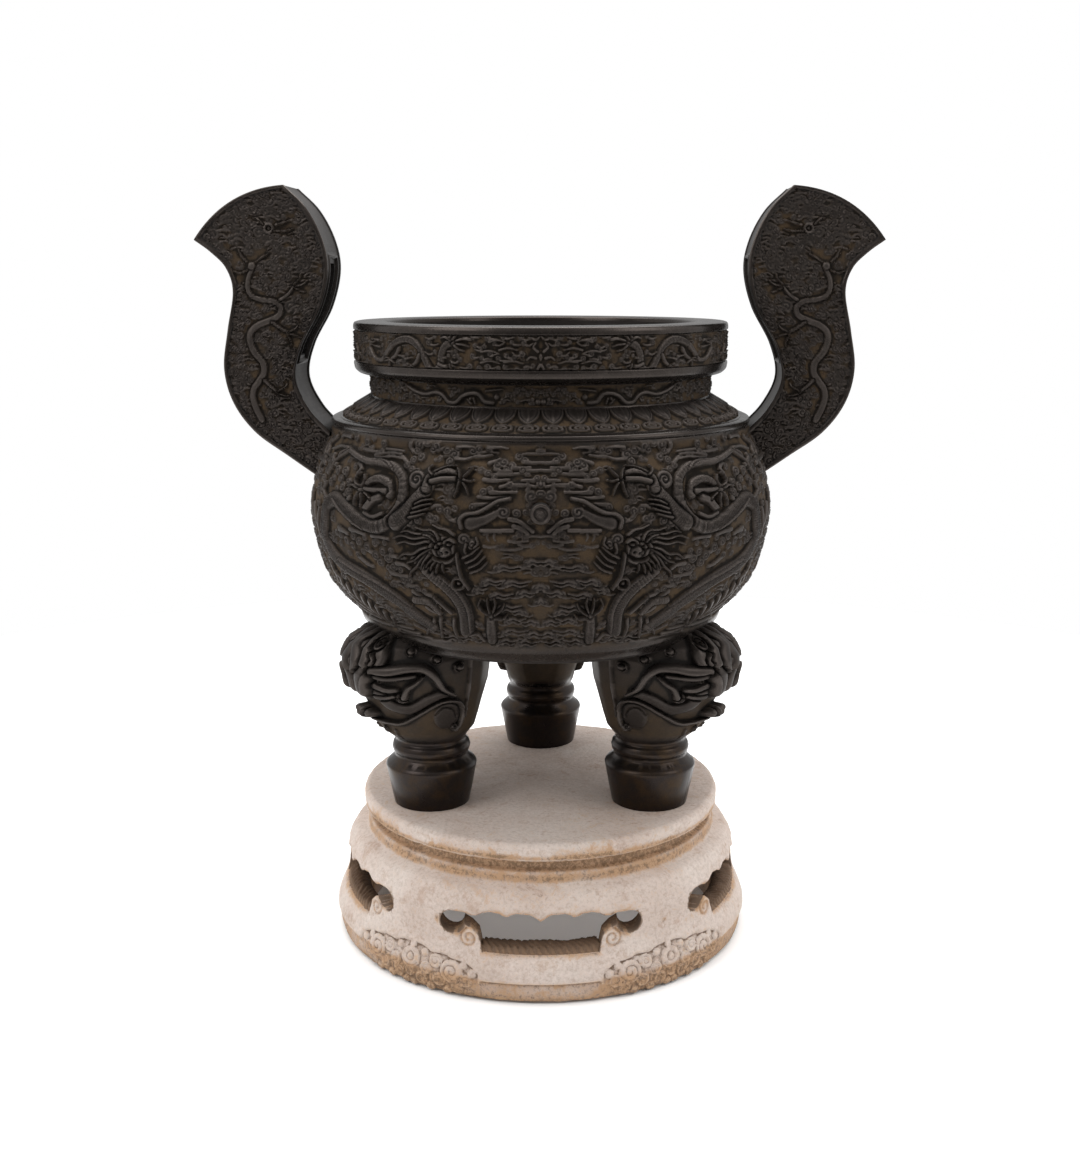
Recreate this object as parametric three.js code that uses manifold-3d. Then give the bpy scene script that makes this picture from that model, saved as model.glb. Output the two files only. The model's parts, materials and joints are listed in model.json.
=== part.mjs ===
// Bronze ding (three-legged vessel with two court-hat ears) on a pierced marble plinth.
// Millimetres, +Z up, origin at the centre of the plinth's underside.
// The ears lie along X, the pearl boss faces -Y, one leg stands at the back (+Y).
import * as THREE from 'three';
import { mergeVertices } from 'three/addons/utils/BufferGeometryUtils.js';
import Module from 'manifold-3d';

const wasm = await Module();
wasm.setup();

// ---------------------------------------------------------------- driving dimensions
const GAP = 0.3;                 // clearance between the feet and the marble

// marble plinth
const PLINTH_H = 343;            // underside to table top
const PLINTH_TOP_R = 430;        // table disc radius
const PLINTH_DISC_T = 39;        // table disc thickness
const PLINTH_BASE_R = 503;       // widest radius of the base ring
const PLINTH_DRUM_R = 477;       // widest radius of the swelling drum
const PLINTH_INNER_R = 424;      // radius of the open inside
const PLINTH_CEILING_Z = 240;    // underside of the table slab
const LEDGE_Z = 107;             // sill of the pierced openings
const OPENINGS = 5;              // pierced openings round the drum

// bronze bowl
const RIM_TOP_Z = 1451;
const RIM_R = 429;               // outside of the rim band
const RIM_H = 114;               // height of the rim band
const MOUTH_R = 351;             // clear mouth
const NECK_R = 393;
const SHOULDER_R = 484;          // fillet ring where shoulder meets belly
const SHOULDER_Z = 1226;
const BELLY_R = 549;             // widest, over the carving
const BELLY_Z = 1028;
const BOWL_BASE_R = 400;         // plain ring at the foot of the belly
const BOWL_BASE_Z = 742;
const FLOOR_T = 30;              // floor of the bowl
const WALL = 28;                 // wall of the belly, over the carving
const BOSS_Z = 1089;             // pearl boss height
const BOSS_R = 21;

// legs
const LEG_CIRCLE_R = 296;
const LEG_ANGLES = [90, 210, 330];
const FOOT_R = 88;
const FLANGE_R = 106;
const FLANGE_Z = 437;
const RING_Z = 480;
const RING_R = 91;
const WAIST_R = 81;

// ears
const EAR_T = 154;               // ear width across, along Y
const EAR_YAW = -3.4;            // both ears stand slightly turned, degrees
const EAR_AXIS_U = 600;          // radius that the turn is made about
const EAR_FIELD_DEPTH = 5;       // carved field below its raised border
const EAR_BORDER = 11;
const SLOT_W = 56;
const SLOT_Z0 = 1374, SLOT_Z1 = 1578;

const SEG_BOWL = 40, SEG_PLINTH = 40;

// ---------------------------------------------------------------- helpers
const V2 = (x, y) => new THREE.Vector2(x, y);

function toManifold(geometry) {
  const g = geometry.clone();
  for (const k of Object.keys(g.attributes)) if (k !== 'position') g.deleteAttribute(k);
  const m = mergeVertices(g, 1e-3);
  const p = m.attributes.position.array, ix = m.index.array;
  const tri = [];
  let vol = 0;
  for (let i = 0; i < ix.length; i += 3) {
    const [a, b, c] = [ix[i], ix[i + 1], ix[i + 2]];
    if (a === b || b === c || a === c) continue;
    tri.push(a, b, c);
    const A = new THREE.Vector3(p[3 * a], p[3 * a + 1], p[3 * a + 2]);
    const B = new THREE.Vector3(p[3 * b], p[3 * b + 1], p[3 * b + 2]);
    const C = new THREE.Vector3(p[3 * c], p[3 * c + 1], p[3 * c + 2]);
    vol += A.dot(B.cross(C)) / 6;
  }
  if (vol < 0) for (let i = 0; i < tri.length; i += 3) [tri[i], tri[i + 1]] = [tri[i + 1], tri[i]];
  return new wasm.Manifold(new wasm.Mesh({
    numProp: 3, vertProperties: new Float32Array(p), triVerts: new Uint32Array(tri),
  }));
}

function toGeometry(manifold) {
  const m = manifold.getMesh();
  const n = m.numProp, count = m.vertProperties.length / n;
  const pos = new Float32Array(count * 3);
  for (let i = 0; i < count; i++) for (let k = 0; k < 3; k++) pos[3 * i + k] = m.vertProperties[n * i + k];
  const g = new THREE.BufferGeometry();
  g.setAttribute('position', new THREE.BufferAttribute(pos, 3));
  g.setIndex(new THREE.BufferAttribute(new Uint32Array(m.triVerts), 1));
  g.computeVertexNormals();
  return g;
}

// solid of revolution about Z from [radius, height] pairs that start and end on the axis
function turned(profile, segments) {
  const g = new THREE.LatheGeometry(profile.map(([r, z]) => V2(r, z)), segments);
  return g.rotateX(Math.PI / 2);
}

// smooth profile through a few stations
function smooth(stations, steps) {
  return new THREE.SplineCurve(stations.map(([a, b]) => V2(a, b))).getPoints(steps).map((p) => [p.x, p.y]);
}

// value at z between stations [z, value]
function station(table, z) {
  if (z <= table[0][0]) return table[0][1];
  for (let i = 1; i < table.length; i++) {
    if (z <= table[i][0]) {
      const t = (z - table[i - 1][0]) / (table[i][0] - table[i - 1][0]);
      return table[i - 1][1] + t * (table[i][1] - table[i - 1][1]);
    }
  }
  return table[table.length - 1][1];
}

const bump = (x, w) => Math.exp(-(x * x) / (w * w));

// ---------------------------------------------------------------- marble plinth
function plinth() {
  const zt = PLINTH_H, r = PLINTH_TOP_R, zd = zt - PLINTH_DISC_T;
  const outer = [
    [0, 0], [PLINTH_BASE_R - 4, 0],
    [PLINTH_BASE_R - 1, 24], [PLINTH_BASE_R, 54], [PLINTH_BASE_R - 9, 80], [481, LEDGE_Z],
    [PLINTH_DRUM_R - 2, 130], [PLINTH_DRUM_R, 184], [469, 214], [453, 239], [424, 251],
    [r - 8, 263], [r - 12, 274], [r - 25, 279], [r - 25, 296],
    [r - 2, zd], [r, zd + 6], [r, zt - 9], [r - 9, zt], [0, zt],
  ];
  const inner = [
    [0, -20], [PLINTH_INNER_R, -20], [PLINTH_INNER_R, 196],
    [PLINTH_INNER_R - 30, PLINTH_CEILING_Z], [0, PLINTH_CEILING_Z],
  ];
  let body = toManifold(turned(outer, SEG_PLINTH)).subtract(toManifold(turned(inner, SEG_PLINTH)));

  // one pierced opening: sill, scroll stubs, a round eye at each end and a cusped head
  const half = (side) => {
    const pts = [];
    const eye = [195, 165], er = 27;
    pts.push([0, LEDGE_Z], [128, LEDGE_Z], [135, 142], [168, 165]);
    for (let i = 1; i < 7; i++) {
      const a = Math.PI + (i / 7) * Math.PI * 1.5;
      pts.push([eye[0] + er * Math.cos(a), eye[1] + er * Math.sin(a)]);
    }
    pts.push([168, 191], [140, 188], [120, 197], [92, 197], [72, 191], [54, 199], [24, 197], [0, 184]);
    return side > 0 ? pts : pts.map(([x, z]) => [-x, z]).reverse();
  };
  const outline = [...half(1), ...half(-1).slice(1, -1)];
  const shape = new THREE.Shape(outline.map(([x, z]) => V2(x, z)));
  const cutter = new THREE.ExtrudeGeometry(shape, { depth: 260, bevelEnabled: false, curveSegments: 1 });
  cutter.rotateX(Math.PI / 2);                   // shape height becomes Z, depth runs along -Y
  cutter.translate(0, -330, 0);
  for (let k = 0; k < OPENINGS; k++) {
    const c = cutter.clone().rotateZ((k * 2 * Math.PI) / OPENINGS);
    body = body.subtract(toManifold(c));
  }
  return body;
}

// ---------------------------------------------------------------- bowl
function bowlOuter() {
  const rz = RIM_TOP_Z, rb = RIM_TOP_Z - RIM_H;
  return [
    [0, BOWL_BASE_Z - 30], [220, BOWL_BASE_Z - 26], [340, BOWL_BASE_Z - 16], [BOWL_BASE_R - 8, BOWL_BASE_Z - 2],
    [BOWL_BASE_R + 5, BOWL_BASE_Z + 6],
    ...smooth([[414, 760], [453, 800], [484, 832], [512, 871], [528, 912], [541, 968],
      [BELLY_R, BELLY_Z], [542, 1084], [525, 1153], [SHOULDER_R + 8, 1212]], 10),
    [SHOULDER_R - 1, SHOULDER_Z + 4], [466, 1238],
    [438, 1256], [408, 1273], [NECK_R, 1283],
    [NECK_R, rb - 4], [RIM_R - 10, rb], [RIM_R, rb + 20],
    [RIM_R, rz - 9], [RIM_R - 9, rz], [0, rz],
  ];
}

function bowlInner() {
  const zf = BOWL_BASE_Z - 30 + FLOOR_T;
  return [
    [0, zf], [330, zf + 18], [408, 788], [462, 842], [502, 916], [519, 985], [BELLY_R - WALL, BELLY_Z + 10],
    [508, 1104], [474, 1178], [410, 1246], [MOUTH_R, 1290], [MOUTH_R, RIM_TOP_Z - 5], [MOUTH_R + 6, RIM_TOP_Z + 1],
    [MOUTH_R + 6, RIM_TOP_Z + 40], [0, RIM_TOP_Z + 40],
  ];
}

// ---------------------------------------------------------------- legs
// half-depth (towards and away from the bowl's axis), half-width and centre of the leg, by height
const LEG_DEPTH = [[343, FOOT_R], [352, FOOT_R + 2], [430, FLANGE_R - 1], [FLANGE_Z, FLANGE_R], [443, 102],
  [458, 85], [466, 85], [470, 89], [RING_Z, RING_R], [490, 88], [495, 82], [503, WAIST_R], [512, 90],
  [529, 112], [557, 122], [590, 133], [642, 156], [684, 165], [715, 164], [745, 152], [772, 128], [795, 92]];
const LEG_WIDTH = [[343, FOOT_R], [352, FOOT_R + 2], [430, FLANGE_R - 1], [FLANGE_Z, FLANGE_R], [443, 102],
  [458, 85], [466, 85], [470, 89], [RING_Z, RING_R], [490, 88], [495, 82], [503, WAIST_R], [512, 86],
  [529, 98], [557, 111], [590, 124], [642, 143], [684, 152], [715, 152], [745, 142], [772, 118], [795, 84]];
const LEG_CENTRE = [[343, 0], [503, 0], [529, 8], [590, 14], [642, 22], [684, 26], [745, 20], [795, 0]];

// carving of the beast mask that each leg grows out of; a is the angle from straight outwards
function mask(a, z) {
  const s = Math.abs(a);                       // mirrored about the leg's own plane
  let d = 0;
  d += 26 * bump(s, 0.17) * bump(z - 560, 17);                       // nose
  d += 9 * bump(s - 0.30, 0.14) * bump(z - 556, 15);                 // nostril wing
  d += 11 * bump(s - 0.55, 0.5) * bump(z - (585 + 26 * s), 16);      // cheek above the mouth
  d -= 8 * bump(z - (548 + 24 * Math.min(s, 1.5)), 7) * bump(s - 0.8, 0.75);   // mouth line
  d += 10 * bump(z - (628 + 14 * Math.sin(1.6 * s)), 13) * bump(s - 0.7, 0.75);  // brow
  for (let i = 0; i < 4; i++) {                                      // mane lobes
    const lobe = 0.16 + i * 0.34;
    d += 13 * bump(s - lobe, 0.15) * bump(z - (690 - 4 * i), 34);
  }
  return d * Math.min(1, Math.max(0, (z - 512) / 20)) * Math.min(1, Math.max(0, (790 - z) / 30));
}

function leg(angle) {
  const rows = [343 + GAP, 434, FLANGE_Z, 444, 458, 468, RING_Z, 491, 504, 518, 534, 548, 562,
    580, 600, 622, 642, 668, 696, 724, 752, 780];
  const SEG = 20;
  const g = new THREE.CylinderGeometry(1, 1, 1, SEG, rows.length - 1, false);
  const pos = g.attributes.position;
  for (let i = 0; i < pos.count; i++) {
    const row = Math.round((pos.getY(i) + 0.5) * (rows.length - 1));
    const z = rows[row];
    const on = Math.hypot(pos.getX(i), pos.getZ(i)) > 0.5 ? 1 : 0;
    const a = Math.atan2(pos.getZ(i), pos.getX(i));
    const deep = station(LEG_DEPTH, z), wide = station(LEG_WIDTH, z), c = station(LEG_CENTRE, z);
    const grow = mask(a, z);
    let u = c + (deep + grow) * Math.cos(a) * on;
    const w = (wide + grow) * Math.sin(a) * on;
    const flat = z > 516 ? c - deep * 0.93 : -1e9;                   // plain flat strip on the inner side
    u = Math.max(u, on ? flat : u);
    pos.setXYZ(i, LEG_CIRCLE_R + u, w, z);
  }
  g.rotateZ(THREE.MathUtils.degToRad(angle));
  return toManifold(g);
}

// ---------------------------------------------------------------- ears
const EAR_INNER = [[476, 1203], [523, 1255], [552, 1322], [536, 1396], [491, 1480], [470, 1563],
  [480, 1631], [514, 1698], [563, 1747]];
const EAR_TOP = [[563, 1747], [622, 1737], [681, 1711], [738, 1666], [770, 1629]];
const EAR_OUTER = [[770, 1629], [733, 1602], [700, 1567], [687, 1515], [703, 1430], [715, 1345],
  [697, 1268], [649, 1201], [575, 1147], [505, 1098]];

function earOutline(inset) {
  const a = smooth(EAR_INNER, 16), b = smooth(EAR_TOP, 5), c = smooth(EAR_OUTER, 17);
  const pts = [...a, ...b.slice(1), ...c.slice(1)];
  if (!inset) return pts;
  const n = pts.length, out = [];
  for (let i = 0; i < n; i++) {
    const p = pts[(i + n - 1) % n], q = pts[(i + 1) % n];
    const tx = q[0] - p[0], ty = q[1] - p[1], l = Math.hypot(tx, ty);
    out.push([pts[i][0] + (ty / l) * inset, pts[i][1] - (tx / l) * inset]);
  }
  return out;
}

function slab(points, thickness, yMid = 0) {
  const g = new THREE.ExtrudeGeometry(new THREE.Shape(points.map(([x, y]) => V2(x, y))),
    { depth: thickness, bevelEnabled: false, curveSegments: 1 });
  g.rotateX(Math.PI / 2);
  g.translate(0, yMid + thickness / 2, 0);
  return g;
}

function ear(side) {
  const outline = earOutline(0);
  let body = toManifold(slab(outline, EAR_T));
  const field = earOutline(EAR_BORDER);
  for (const s of [-1, 1]) body = body.subtract(toManifold(slab(field, EAR_FIELD_DEPTH * 2, s * EAR_T / 2)));
  // through slot across the ear, with a stepped frame on both faces
  const slot = new THREE.BoxGeometry(500, SLOT_W, SLOT_Z1 - SLOT_Z0);
  slot.translate(600, 0, (SLOT_Z0 + SLOT_Z1) / 2);
  body = body.subtract(toManifold(slot));
  const frame = new THREE.BoxGeometry(500, SLOT_W + 26, SLOT_Z1 - SLOT_Z0 + 24);
  frame.translate(600, 0, (SLOT_Z0 + SLOT_Z1) / 2);
  const core = toManifold(slab(earOutline(9), EAR_T - 10));
  body = body.subtract(toManifold(frame).subtract(core));
  const turn = (m) => {
    const g = toGeometry(m);
    g.translate(-EAR_AXIS_U, 0, 0).rotateZ(THREE.MathUtils.degToRad(EAR_YAW)).translate(EAR_AXIS_U, 0, 0);
    if (side < 0) g.rotateZ(Math.PI);
    return toManifold(g);
  };
  return turn(body);
}

// ---------------------------------------------------------------- dragons on the belly, as low rounded coils
function bellyRadius(z) {
  const prof = bowlOuter();
  for (let i = 1; i < prof.length; i++) {
    const [r0, z0] = prof[i - 1], [r1, z1] = prof[i];
    if (z >= z0 && z <= z1 && z1 > z0) return r0 + ((z - z0) / (z1 - z0)) * (r1 - r0);
  }
  return BELLY_R;
}

function boss(side) {
  const prof = [[0, -40], [BOSS_R, -40], [BOSS_R, 3], [BOSS_R - 5, 6], [BOSS_R - 9, 3], [6, 4], [0, 5.5]];
  const g = new THREE.LatheGeometry(prof.map(([r, z]) => V2(r, z)), 14);   // axis along +Y
  g.rotateX(Math.PI);                                                        // axis along -Y
  g.translate(0, -(bellyRadius(BOSS_Z) - 0.5), BOSS_Z);
  if (side < 0) g.rotateZ(Math.PI);
  return toManifold(g);
}

function ding() {
  let body = toManifold(turned(bowlOuter(), SEG_BOWL));
  for (const a of LEG_ANGLES) body = body.add(leg(a));
  for (const s of [1, -1]) body = body.add(ear(s));
  for (const s of [1, -1]) body = body.add(boss(s));
  return body.subtract(toManifold(turned(bowlInner(), SEG_BOWL)));
}

// ---------------------------------------------------------------- the part
const marble = new THREE.MeshStandardMaterial({ color: 0xcdb7a6, roughness: 0.82, metalness: 0 });
const bronze = new THREE.MeshStandardMaterial({ color: 0x2b2522, roughness: 0.45, metalness: 0.7 });

const group = new THREE.Group();
const add = (name, manifold, material) => {
  const mesh = new THREE.Mesh(toGeometry(manifold), material);
  mesh.name = name;
  group.add(mesh);
};
add('marble_plinth', plinth(), marble);
add('ding_vessel', ding(), bronze);

export default group;
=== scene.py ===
import bpy, json, math
import numpy as np
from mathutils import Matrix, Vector

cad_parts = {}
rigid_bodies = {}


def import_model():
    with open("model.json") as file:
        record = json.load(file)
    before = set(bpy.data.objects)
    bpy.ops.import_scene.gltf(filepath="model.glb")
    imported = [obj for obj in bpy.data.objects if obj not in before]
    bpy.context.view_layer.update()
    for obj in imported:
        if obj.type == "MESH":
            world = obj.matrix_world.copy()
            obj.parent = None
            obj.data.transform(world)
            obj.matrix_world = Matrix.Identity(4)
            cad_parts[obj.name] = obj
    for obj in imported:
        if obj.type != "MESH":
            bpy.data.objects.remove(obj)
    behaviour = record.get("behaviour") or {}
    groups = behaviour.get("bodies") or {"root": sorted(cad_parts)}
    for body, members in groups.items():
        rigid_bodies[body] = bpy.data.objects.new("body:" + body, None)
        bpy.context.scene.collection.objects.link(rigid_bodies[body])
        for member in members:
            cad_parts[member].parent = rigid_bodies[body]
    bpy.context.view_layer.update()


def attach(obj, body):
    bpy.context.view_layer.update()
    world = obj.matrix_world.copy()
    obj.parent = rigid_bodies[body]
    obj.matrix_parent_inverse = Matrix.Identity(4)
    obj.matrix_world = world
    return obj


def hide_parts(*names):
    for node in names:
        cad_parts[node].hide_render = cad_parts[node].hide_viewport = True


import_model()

RNG = np.random.default_rng(7)
MM = 0.001

# ------------------------------------------------------------------ small numeric helpers
def spline(pts, step=3.0):
    """Centripetal-free Catmull-Rom through pts, sampled about every `step`."""
    P = np.asarray(pts, float)
    if len(P) < 3:
        n = max(2, int(np.hypot(*(P[1] - P[0])) / step) + 1)
        t = np.linspace(0, 1, n)[:, None]
        return P[0] * (1 - t) + P[1] * t
    Q = np.vstack([2 * P[0] - P[1], P, 2 * P[-1] - P[-2]])
    out = []
    for i in range(1, len(Q) - 2):
        a, b, c, d = Q[i - 1:i + 3]
        n = max(2, int(np.hypot(*(c - b)) / step))
        t = np.linspace(0, 1, n, endpoint=False)[:, None]
        out.append(0.5 * ((2 * b) + (c - a) * t + (2 * a - 5 * b + 4 * c - d) * t ** 2 + (3 * b - a - 3 * c + d) * t ** 3))
    out.append(Q[-2][None])
    return np.vstack(out)


def station(table, z):
    t = np.asarray(table, float)
    return np.interp(z, t[:, 0], t[:, 1])


def smoothstep(a, b, x):
    t = np.clip((np.asarray(x, float) - a) / (b - a), 0, 1)
    return t * t * (3 - 2 * t)


def blur(a, n, wrap=False):
    """Three box blurs of half-width n cells: close to a Gaussian."""
    n = int(n)
    if n < 1:
        return a
    for _ in range(3):
        for ax in (0, 1):
            mode = "wrap" if (wrap and ax == 1) else "edge"
            pad = [(0, 0), (0, 0)]
            pad[ax] = (n + 1, n)
            c = np.cumsum(np.pad(a, pad, mode=mode), axis=ax)
            if ax == 0:
                a = (c[2 * n + 1:] - c[:-2 * n - 1]) / (2 * n + 1)
            else:
                a = (c[:, 2 * n + 1:] - c[:, :-2 * n - 1]) / (2 * n + 1)
    return a


def value_noise(shape, cell, seed, octaves=3):
    """Smooth periodic-free noise on a grid, about -1..1."""
    r = np.random.default_rng(seed)
    out = np.zeros(shape)
    amp = 1.0
    for _ in range(octaves):
        ny, nx = max(2, int(shape[0] / cell) + 2), max(2, int(shape[1] / cell) + 2)
        g = r.uniform(-1, 1, (ny, nx))
        y = np.linspace(0, ny - 1.001, shape[0]); x = np.linspace(0, nx - 1.001, shape[1])
        yi = y.astype(int); xi = x.astype(int)
        fy = (y - yi)[:, None]; fx = (x - xi)[None]
        fy = fy * fy * (3 - 2 * fy); fx = fx * fx * (3 - 2 * fx)
        a = g[yi][:, xi]; b = g[yi][:, xi + 1]; c = g[yi + 1][:, xi]; d = g[yi + 1][:, xi + 1]
        out += amp * ((a * (1 - fx) + b * fx) * (1 - fy) + (c * (1 - fx) + d * fx) * fy)
        amp *= 0.5
        cell = max(2, cell / 2)
    return out / 1.5


# ------------------------------------------------------------------ relief canvas
class Canvas:
    """Height field in millimetres over a flat (u, v) sheet, carved with strokes."""

    def __init__(self, u0, u1, v0, v1, cell):
        self.u0, self.v0, self.c = u0, v0, cell
        self.nu, self.nv = int(round((u1 - u0) / cell)) + 1, int(round((v1 - v0) / cell)) + 1
        self.h = np.zeros((self.nv, self.nu))
        self.used = np.zeros((self.nv, self.nu))
        self.scale = np.zeros((self.nv, self.nu))

    def grid(self):
        return np.meshgrid(self.u0 + np.arange(self.nu) * self.c, self.v0 + np.arange(self.nv) * self.c)

    def _win(self, lo, hi):
        i0 = max(0, int((lo[0] - self.u0) / self.c)); i1 = min(self.nu, int((hi[0] - self.u0) / self.c) + 2)
        j0 = max(0, int((lo[1] - self.v0) / self.c)); j1 = min(self.nv, int((hi[1] - self.v0) / self.c) + 2)
        return (slice(j0, j1), slice(i0, i1)) if i1 > i0 and j1 > j0 else None

    def near(self, P, pad):
        """Distance to polyline P, arc length along it and side, in the window around it."""
        w = self._win(P.min(0) - pad, P.max(0) + pad)
        if w is None:
            return None
        ny, nx = w[0].stop - w[0].start, w[1].stop - w[1].start
        D = np.full((ny, nx), 1e9); S = np.zeros((ny, nx)); N = np.zeros((ny, nx))
        ub = self.u0 + w[1].start * self.c; vb = self.v0 + w[0].start * self.c
        L = 0.0
        for k in range(len(P) - 1):
            a, b = P[k], P[k + 1]
            d = b - a
            l = math.hypot(*d)
            if l < 1e-9:
                continue
            lo, hi = np.minimum(a, b) - pad, np.maximum(a, b) + pad
            i0 = max(0, int((lo[0] - ub) / self.c)); i1 = min(nx, int((hi[0] - ub) / self.c) + 2)
            j0 = max(0, int((lo[1] - vb) / self.c)); j1 = min(ny, int((hi[1] - vb) / self.c) + 2)
            if i1 > i0 and j1 > j0:
                X = ub + np.arange(i0, i1) * self.c - a[0]; Y = (vb + np.arange(j0, j1) * self.c - a[1])[:, None]
                t = np.clip((X * d[0] + Y * d[1]) / (l * l), 0, 1)
                ex, ey = X - t * d[0], Y - t * d[1]
                q = np.hypot(ex, ey)
                sub = (slice(j0, j1), slice(i0, i1))
                m = q < D[sub]
                D[sub] = np.where(m, q, D[sub]); S[sub] = np.where(m, L + t * l, S[sub])
                N[sub] = np.where(m, np.sign(d[0] * Y - d[1] * X), N[sub])
            L += l
        return w, D, S, N, L

    def tube(self, pts, w0, w1, h, over=True, moat=3.5, scales=False, bars=False, flat=0.0):
        P = spline(pts)
        r = self.near(P, max(w0, w1) + moat + 2)
        if r is None:
            return
        w, D, S, N, L = r
        f = S / max(L, 1e-6)
        W = w0 + (w1 - w0) * smoothstep(0, 0.55, f) if w1 > w0 else w0 + (w1 - w0) * f
        q = np.clip(D / W, 0, 1)
        prof = (1 - q ** (2.2 + flat)) ** 0.55 if over else (1 - q ** 5) ** 0.5
        # height falls a little at the ends, so tubes sink under what they grow from
        H = h * (0.35 + 0.65 * prof) * np.where(q < 1, 1, 0)
        if scales:
            cw = np.clip(W * 0.34, 3.0, 4.8)
            row = np.floor(S / cw); k = N * D / (cw * 1.05) + 0.5 * (row % 2)
            y = S / cw - row; x = k - np.floor(k) - 0.5
            H = H + np.where(q < 0.93, 2.3 * (0.5 - np.hypot(x * 1.1, y - 0.05)) - 0.5, 0) * (W > 6)
        if bars:
            H = H + np.where(q < 0.9, 0.8 * np.sin(S * 2 * np.pi / 6.5 + 1.4 * q), 0)
        sub = self.h[w]
        inside = D < W
        if over:
            m = smoothstep(0, moat, D - W)
            sub2 = np.where(inside, H, np.where(D - W < moat, sub * (0.12 + 0.88 * m), sub))
        else:
            sub2 = np.where(inside, np.maximum(sub, H), sub)
        self.h[w] = sub2
        if scales or over:
            self.scale[w] = np.where(inside, 1.0 if scales else 0.0, self.scale[w])
        self.used[w] = np.maximum(self.used[w], np.clip(1 - (D - W) / 4, 0, 1))

    def groove(self, pts, w, d):
        r = self.near(spline(pts), 3 * w)
        if r is None:
            return
        win, D, S, N, L = r
        self.h[win] = np.maximum(0, self.h[win] - d * np.exp(-(D / w) ** 2))

    def crest(self, pts, w, h, beads=0.0):
        """Thin line added on top of what is there."""
        r = self.near(spline(pts), 3 * w)
        if r is None:
            return
        win, D, S, N, L = r
        b = 1 - beads * (0.5 + 0.5 * np.cos(S * 2 * np.pi / 6.0))
        self.h[win] = self.h[win] + h * b * np.exp(-(D / w) ** 2) - 0.6 * h * np.exp(-((D - 1.9 * w) / (0.7 * w)) ** 2)

    def disc(self, c, r, h, over=True, moat=3.0, power=2.0):
        w = self._win((c[0] - r - moat, c[1] - r - moat), (c[0] + r + moat, c[1] + r + moat))
        if w is None:
            return
        U = self.u0 + np.arange(w[1].start, w[1].stop) * self.c - c[0]
        V = (self.v0 + np.arange(w[0].start, w[0].stop) * self.c - c[1])[:, None]
        D = np.hypot(U, V)
        q = np.clip(D / r, 0, 1)
        H = h * (0.45 + 0.55 * (1 - q ** power) ** 0.6)
        sub = self.h[w]
        m = smoothstep(0, moat, D - r)
        self.h[w] = np.where(D < r, H if over else np.maximum(H, sub), np.where(D - r < moat, sub * (0.15 + 0.85 * m), sub) if over else sub)
        self.used[w] = np.maximum(self.used[w], np.clip(1 - (D - r) / 4, 0, 1))

    def swirl(self, c, r, h, turn=1, over=True, phase=0.0):
        """Cloud head: a rounded boss with a spiral line cut into it."""
        if over:
            self.disc(c, r, h, False, 0, 5.0)
        n = 30
        t = np.linspace(0, 1, n)
        a = phase + turn * t * 2 * np.pi * 1.35
        rad = r * (0.90 - 0.72 * t)
        P = np.stack([c[0] + rad * np.cos(a), c[1] + rad * np.sin(a)], 1)
        r2 = self.near(P, 6)
        if r2 is None:
            return
        win, D, S, N, L = r2
        gw = max(1.5, 0.16 * r)
        self.h[win] = np.maximum(0.5, self.h[win] - 0.62 * h * np.exp(-(D / gw) ** 2))

    def ring(self, c, r, w, h):
        win = self._win((c[0] - r - w, c[1] - r - w), (c[0] + r + w, c[1] + r + w))
        if win is None:
            return
        U = self.u0 + np.arange(win[1].start, win[1].stop) * self.c - c[0]
        V = (self.v0 + np.arange(win[0].start, win[0].stop) * self.c - c[1])[:, None]
        q = np.abs(np.hypot(U, V) - r) / w
        self.h[win] = np.where(q < 1, np.maximum(self.h[win], h * (1 - q * q) ** 0.5), self.h[win])

    def motif(self, u, v, r, s, h, g):
        """One scrolled cloud: lobes that run together and one or two trailing strands."""
        for m, (a, b) in enumerate(((0.2, 0.45), (-0.3, -0.35))[:1 + int(r > 8)]):
            l = r * g.uniform(2.4, 4.4) * (1 - 0.2 * m)
            y = g.uniform(-0.35, 0.35) * r
            self.tube([(u - s * 0.3 * r, v + b * r), (u - s * l * 0.5, v + b * r + 0.35 * r - y * 0.3), (u - s * l, v + b * r + y)], r * 0.30, r * 0.15, h * 0.85, over=False)
        lobes = [(0, 0, 1.0), (s * 0.95, -0.35, 0.72), (s * 0.35, 0.85, 0.66), (-s * 0.75, 0.6, 0.6)]
        for x, y, k in lobes[:g.integers(2, 5)]:
            self.swirl((u + x * r, v + y * r), r * k, h, int(s) if g.random() < 0.7 else -int(s), True, g.uniform(0, 6.28))

    def fill_clouds(self, n, r0, r1, h, seed, allowed=None, gap=0.92):
        """Scrolled clouds wherever the sheet is still bare."""
        g = np.random.default_rng(seed)
        placed = []
        for _ in range(n * 14):
            if len(placed) >= n:
                break
            u = g.uniform(self.u0, self.u0 + self.nu * self.c); v = g.uniform(self.v0, self.v0 + self.nv * self.c)
            r = g.uniform(r0, r1)
            i, j = int((u - self.u0) / self.c), int((v - self.v0) / self.c)
            k = int(0.9 * r / self.c)
            if not (k <= i < self.nu - k and k <= j < self.nv - k) or self.used[j - k:j + k + 1, i - k:i + k + 1].max() > 0.3:
                continue
            if allowed is not None and not allowed(u, v, r):
                continue
            if any(((u - p) / 1.9) ** 2 + (v - q) ** 2 < (gap * (r + s)) ** 2 for p, q, s in placed):
                continue
            placed.append((u, v, r))
        for u, v, r in placed:
            self.motif(u, v, r, 1 if g.random() < 0.5 else -1, h * g.uniform(0.85, 1.0), g)

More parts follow.
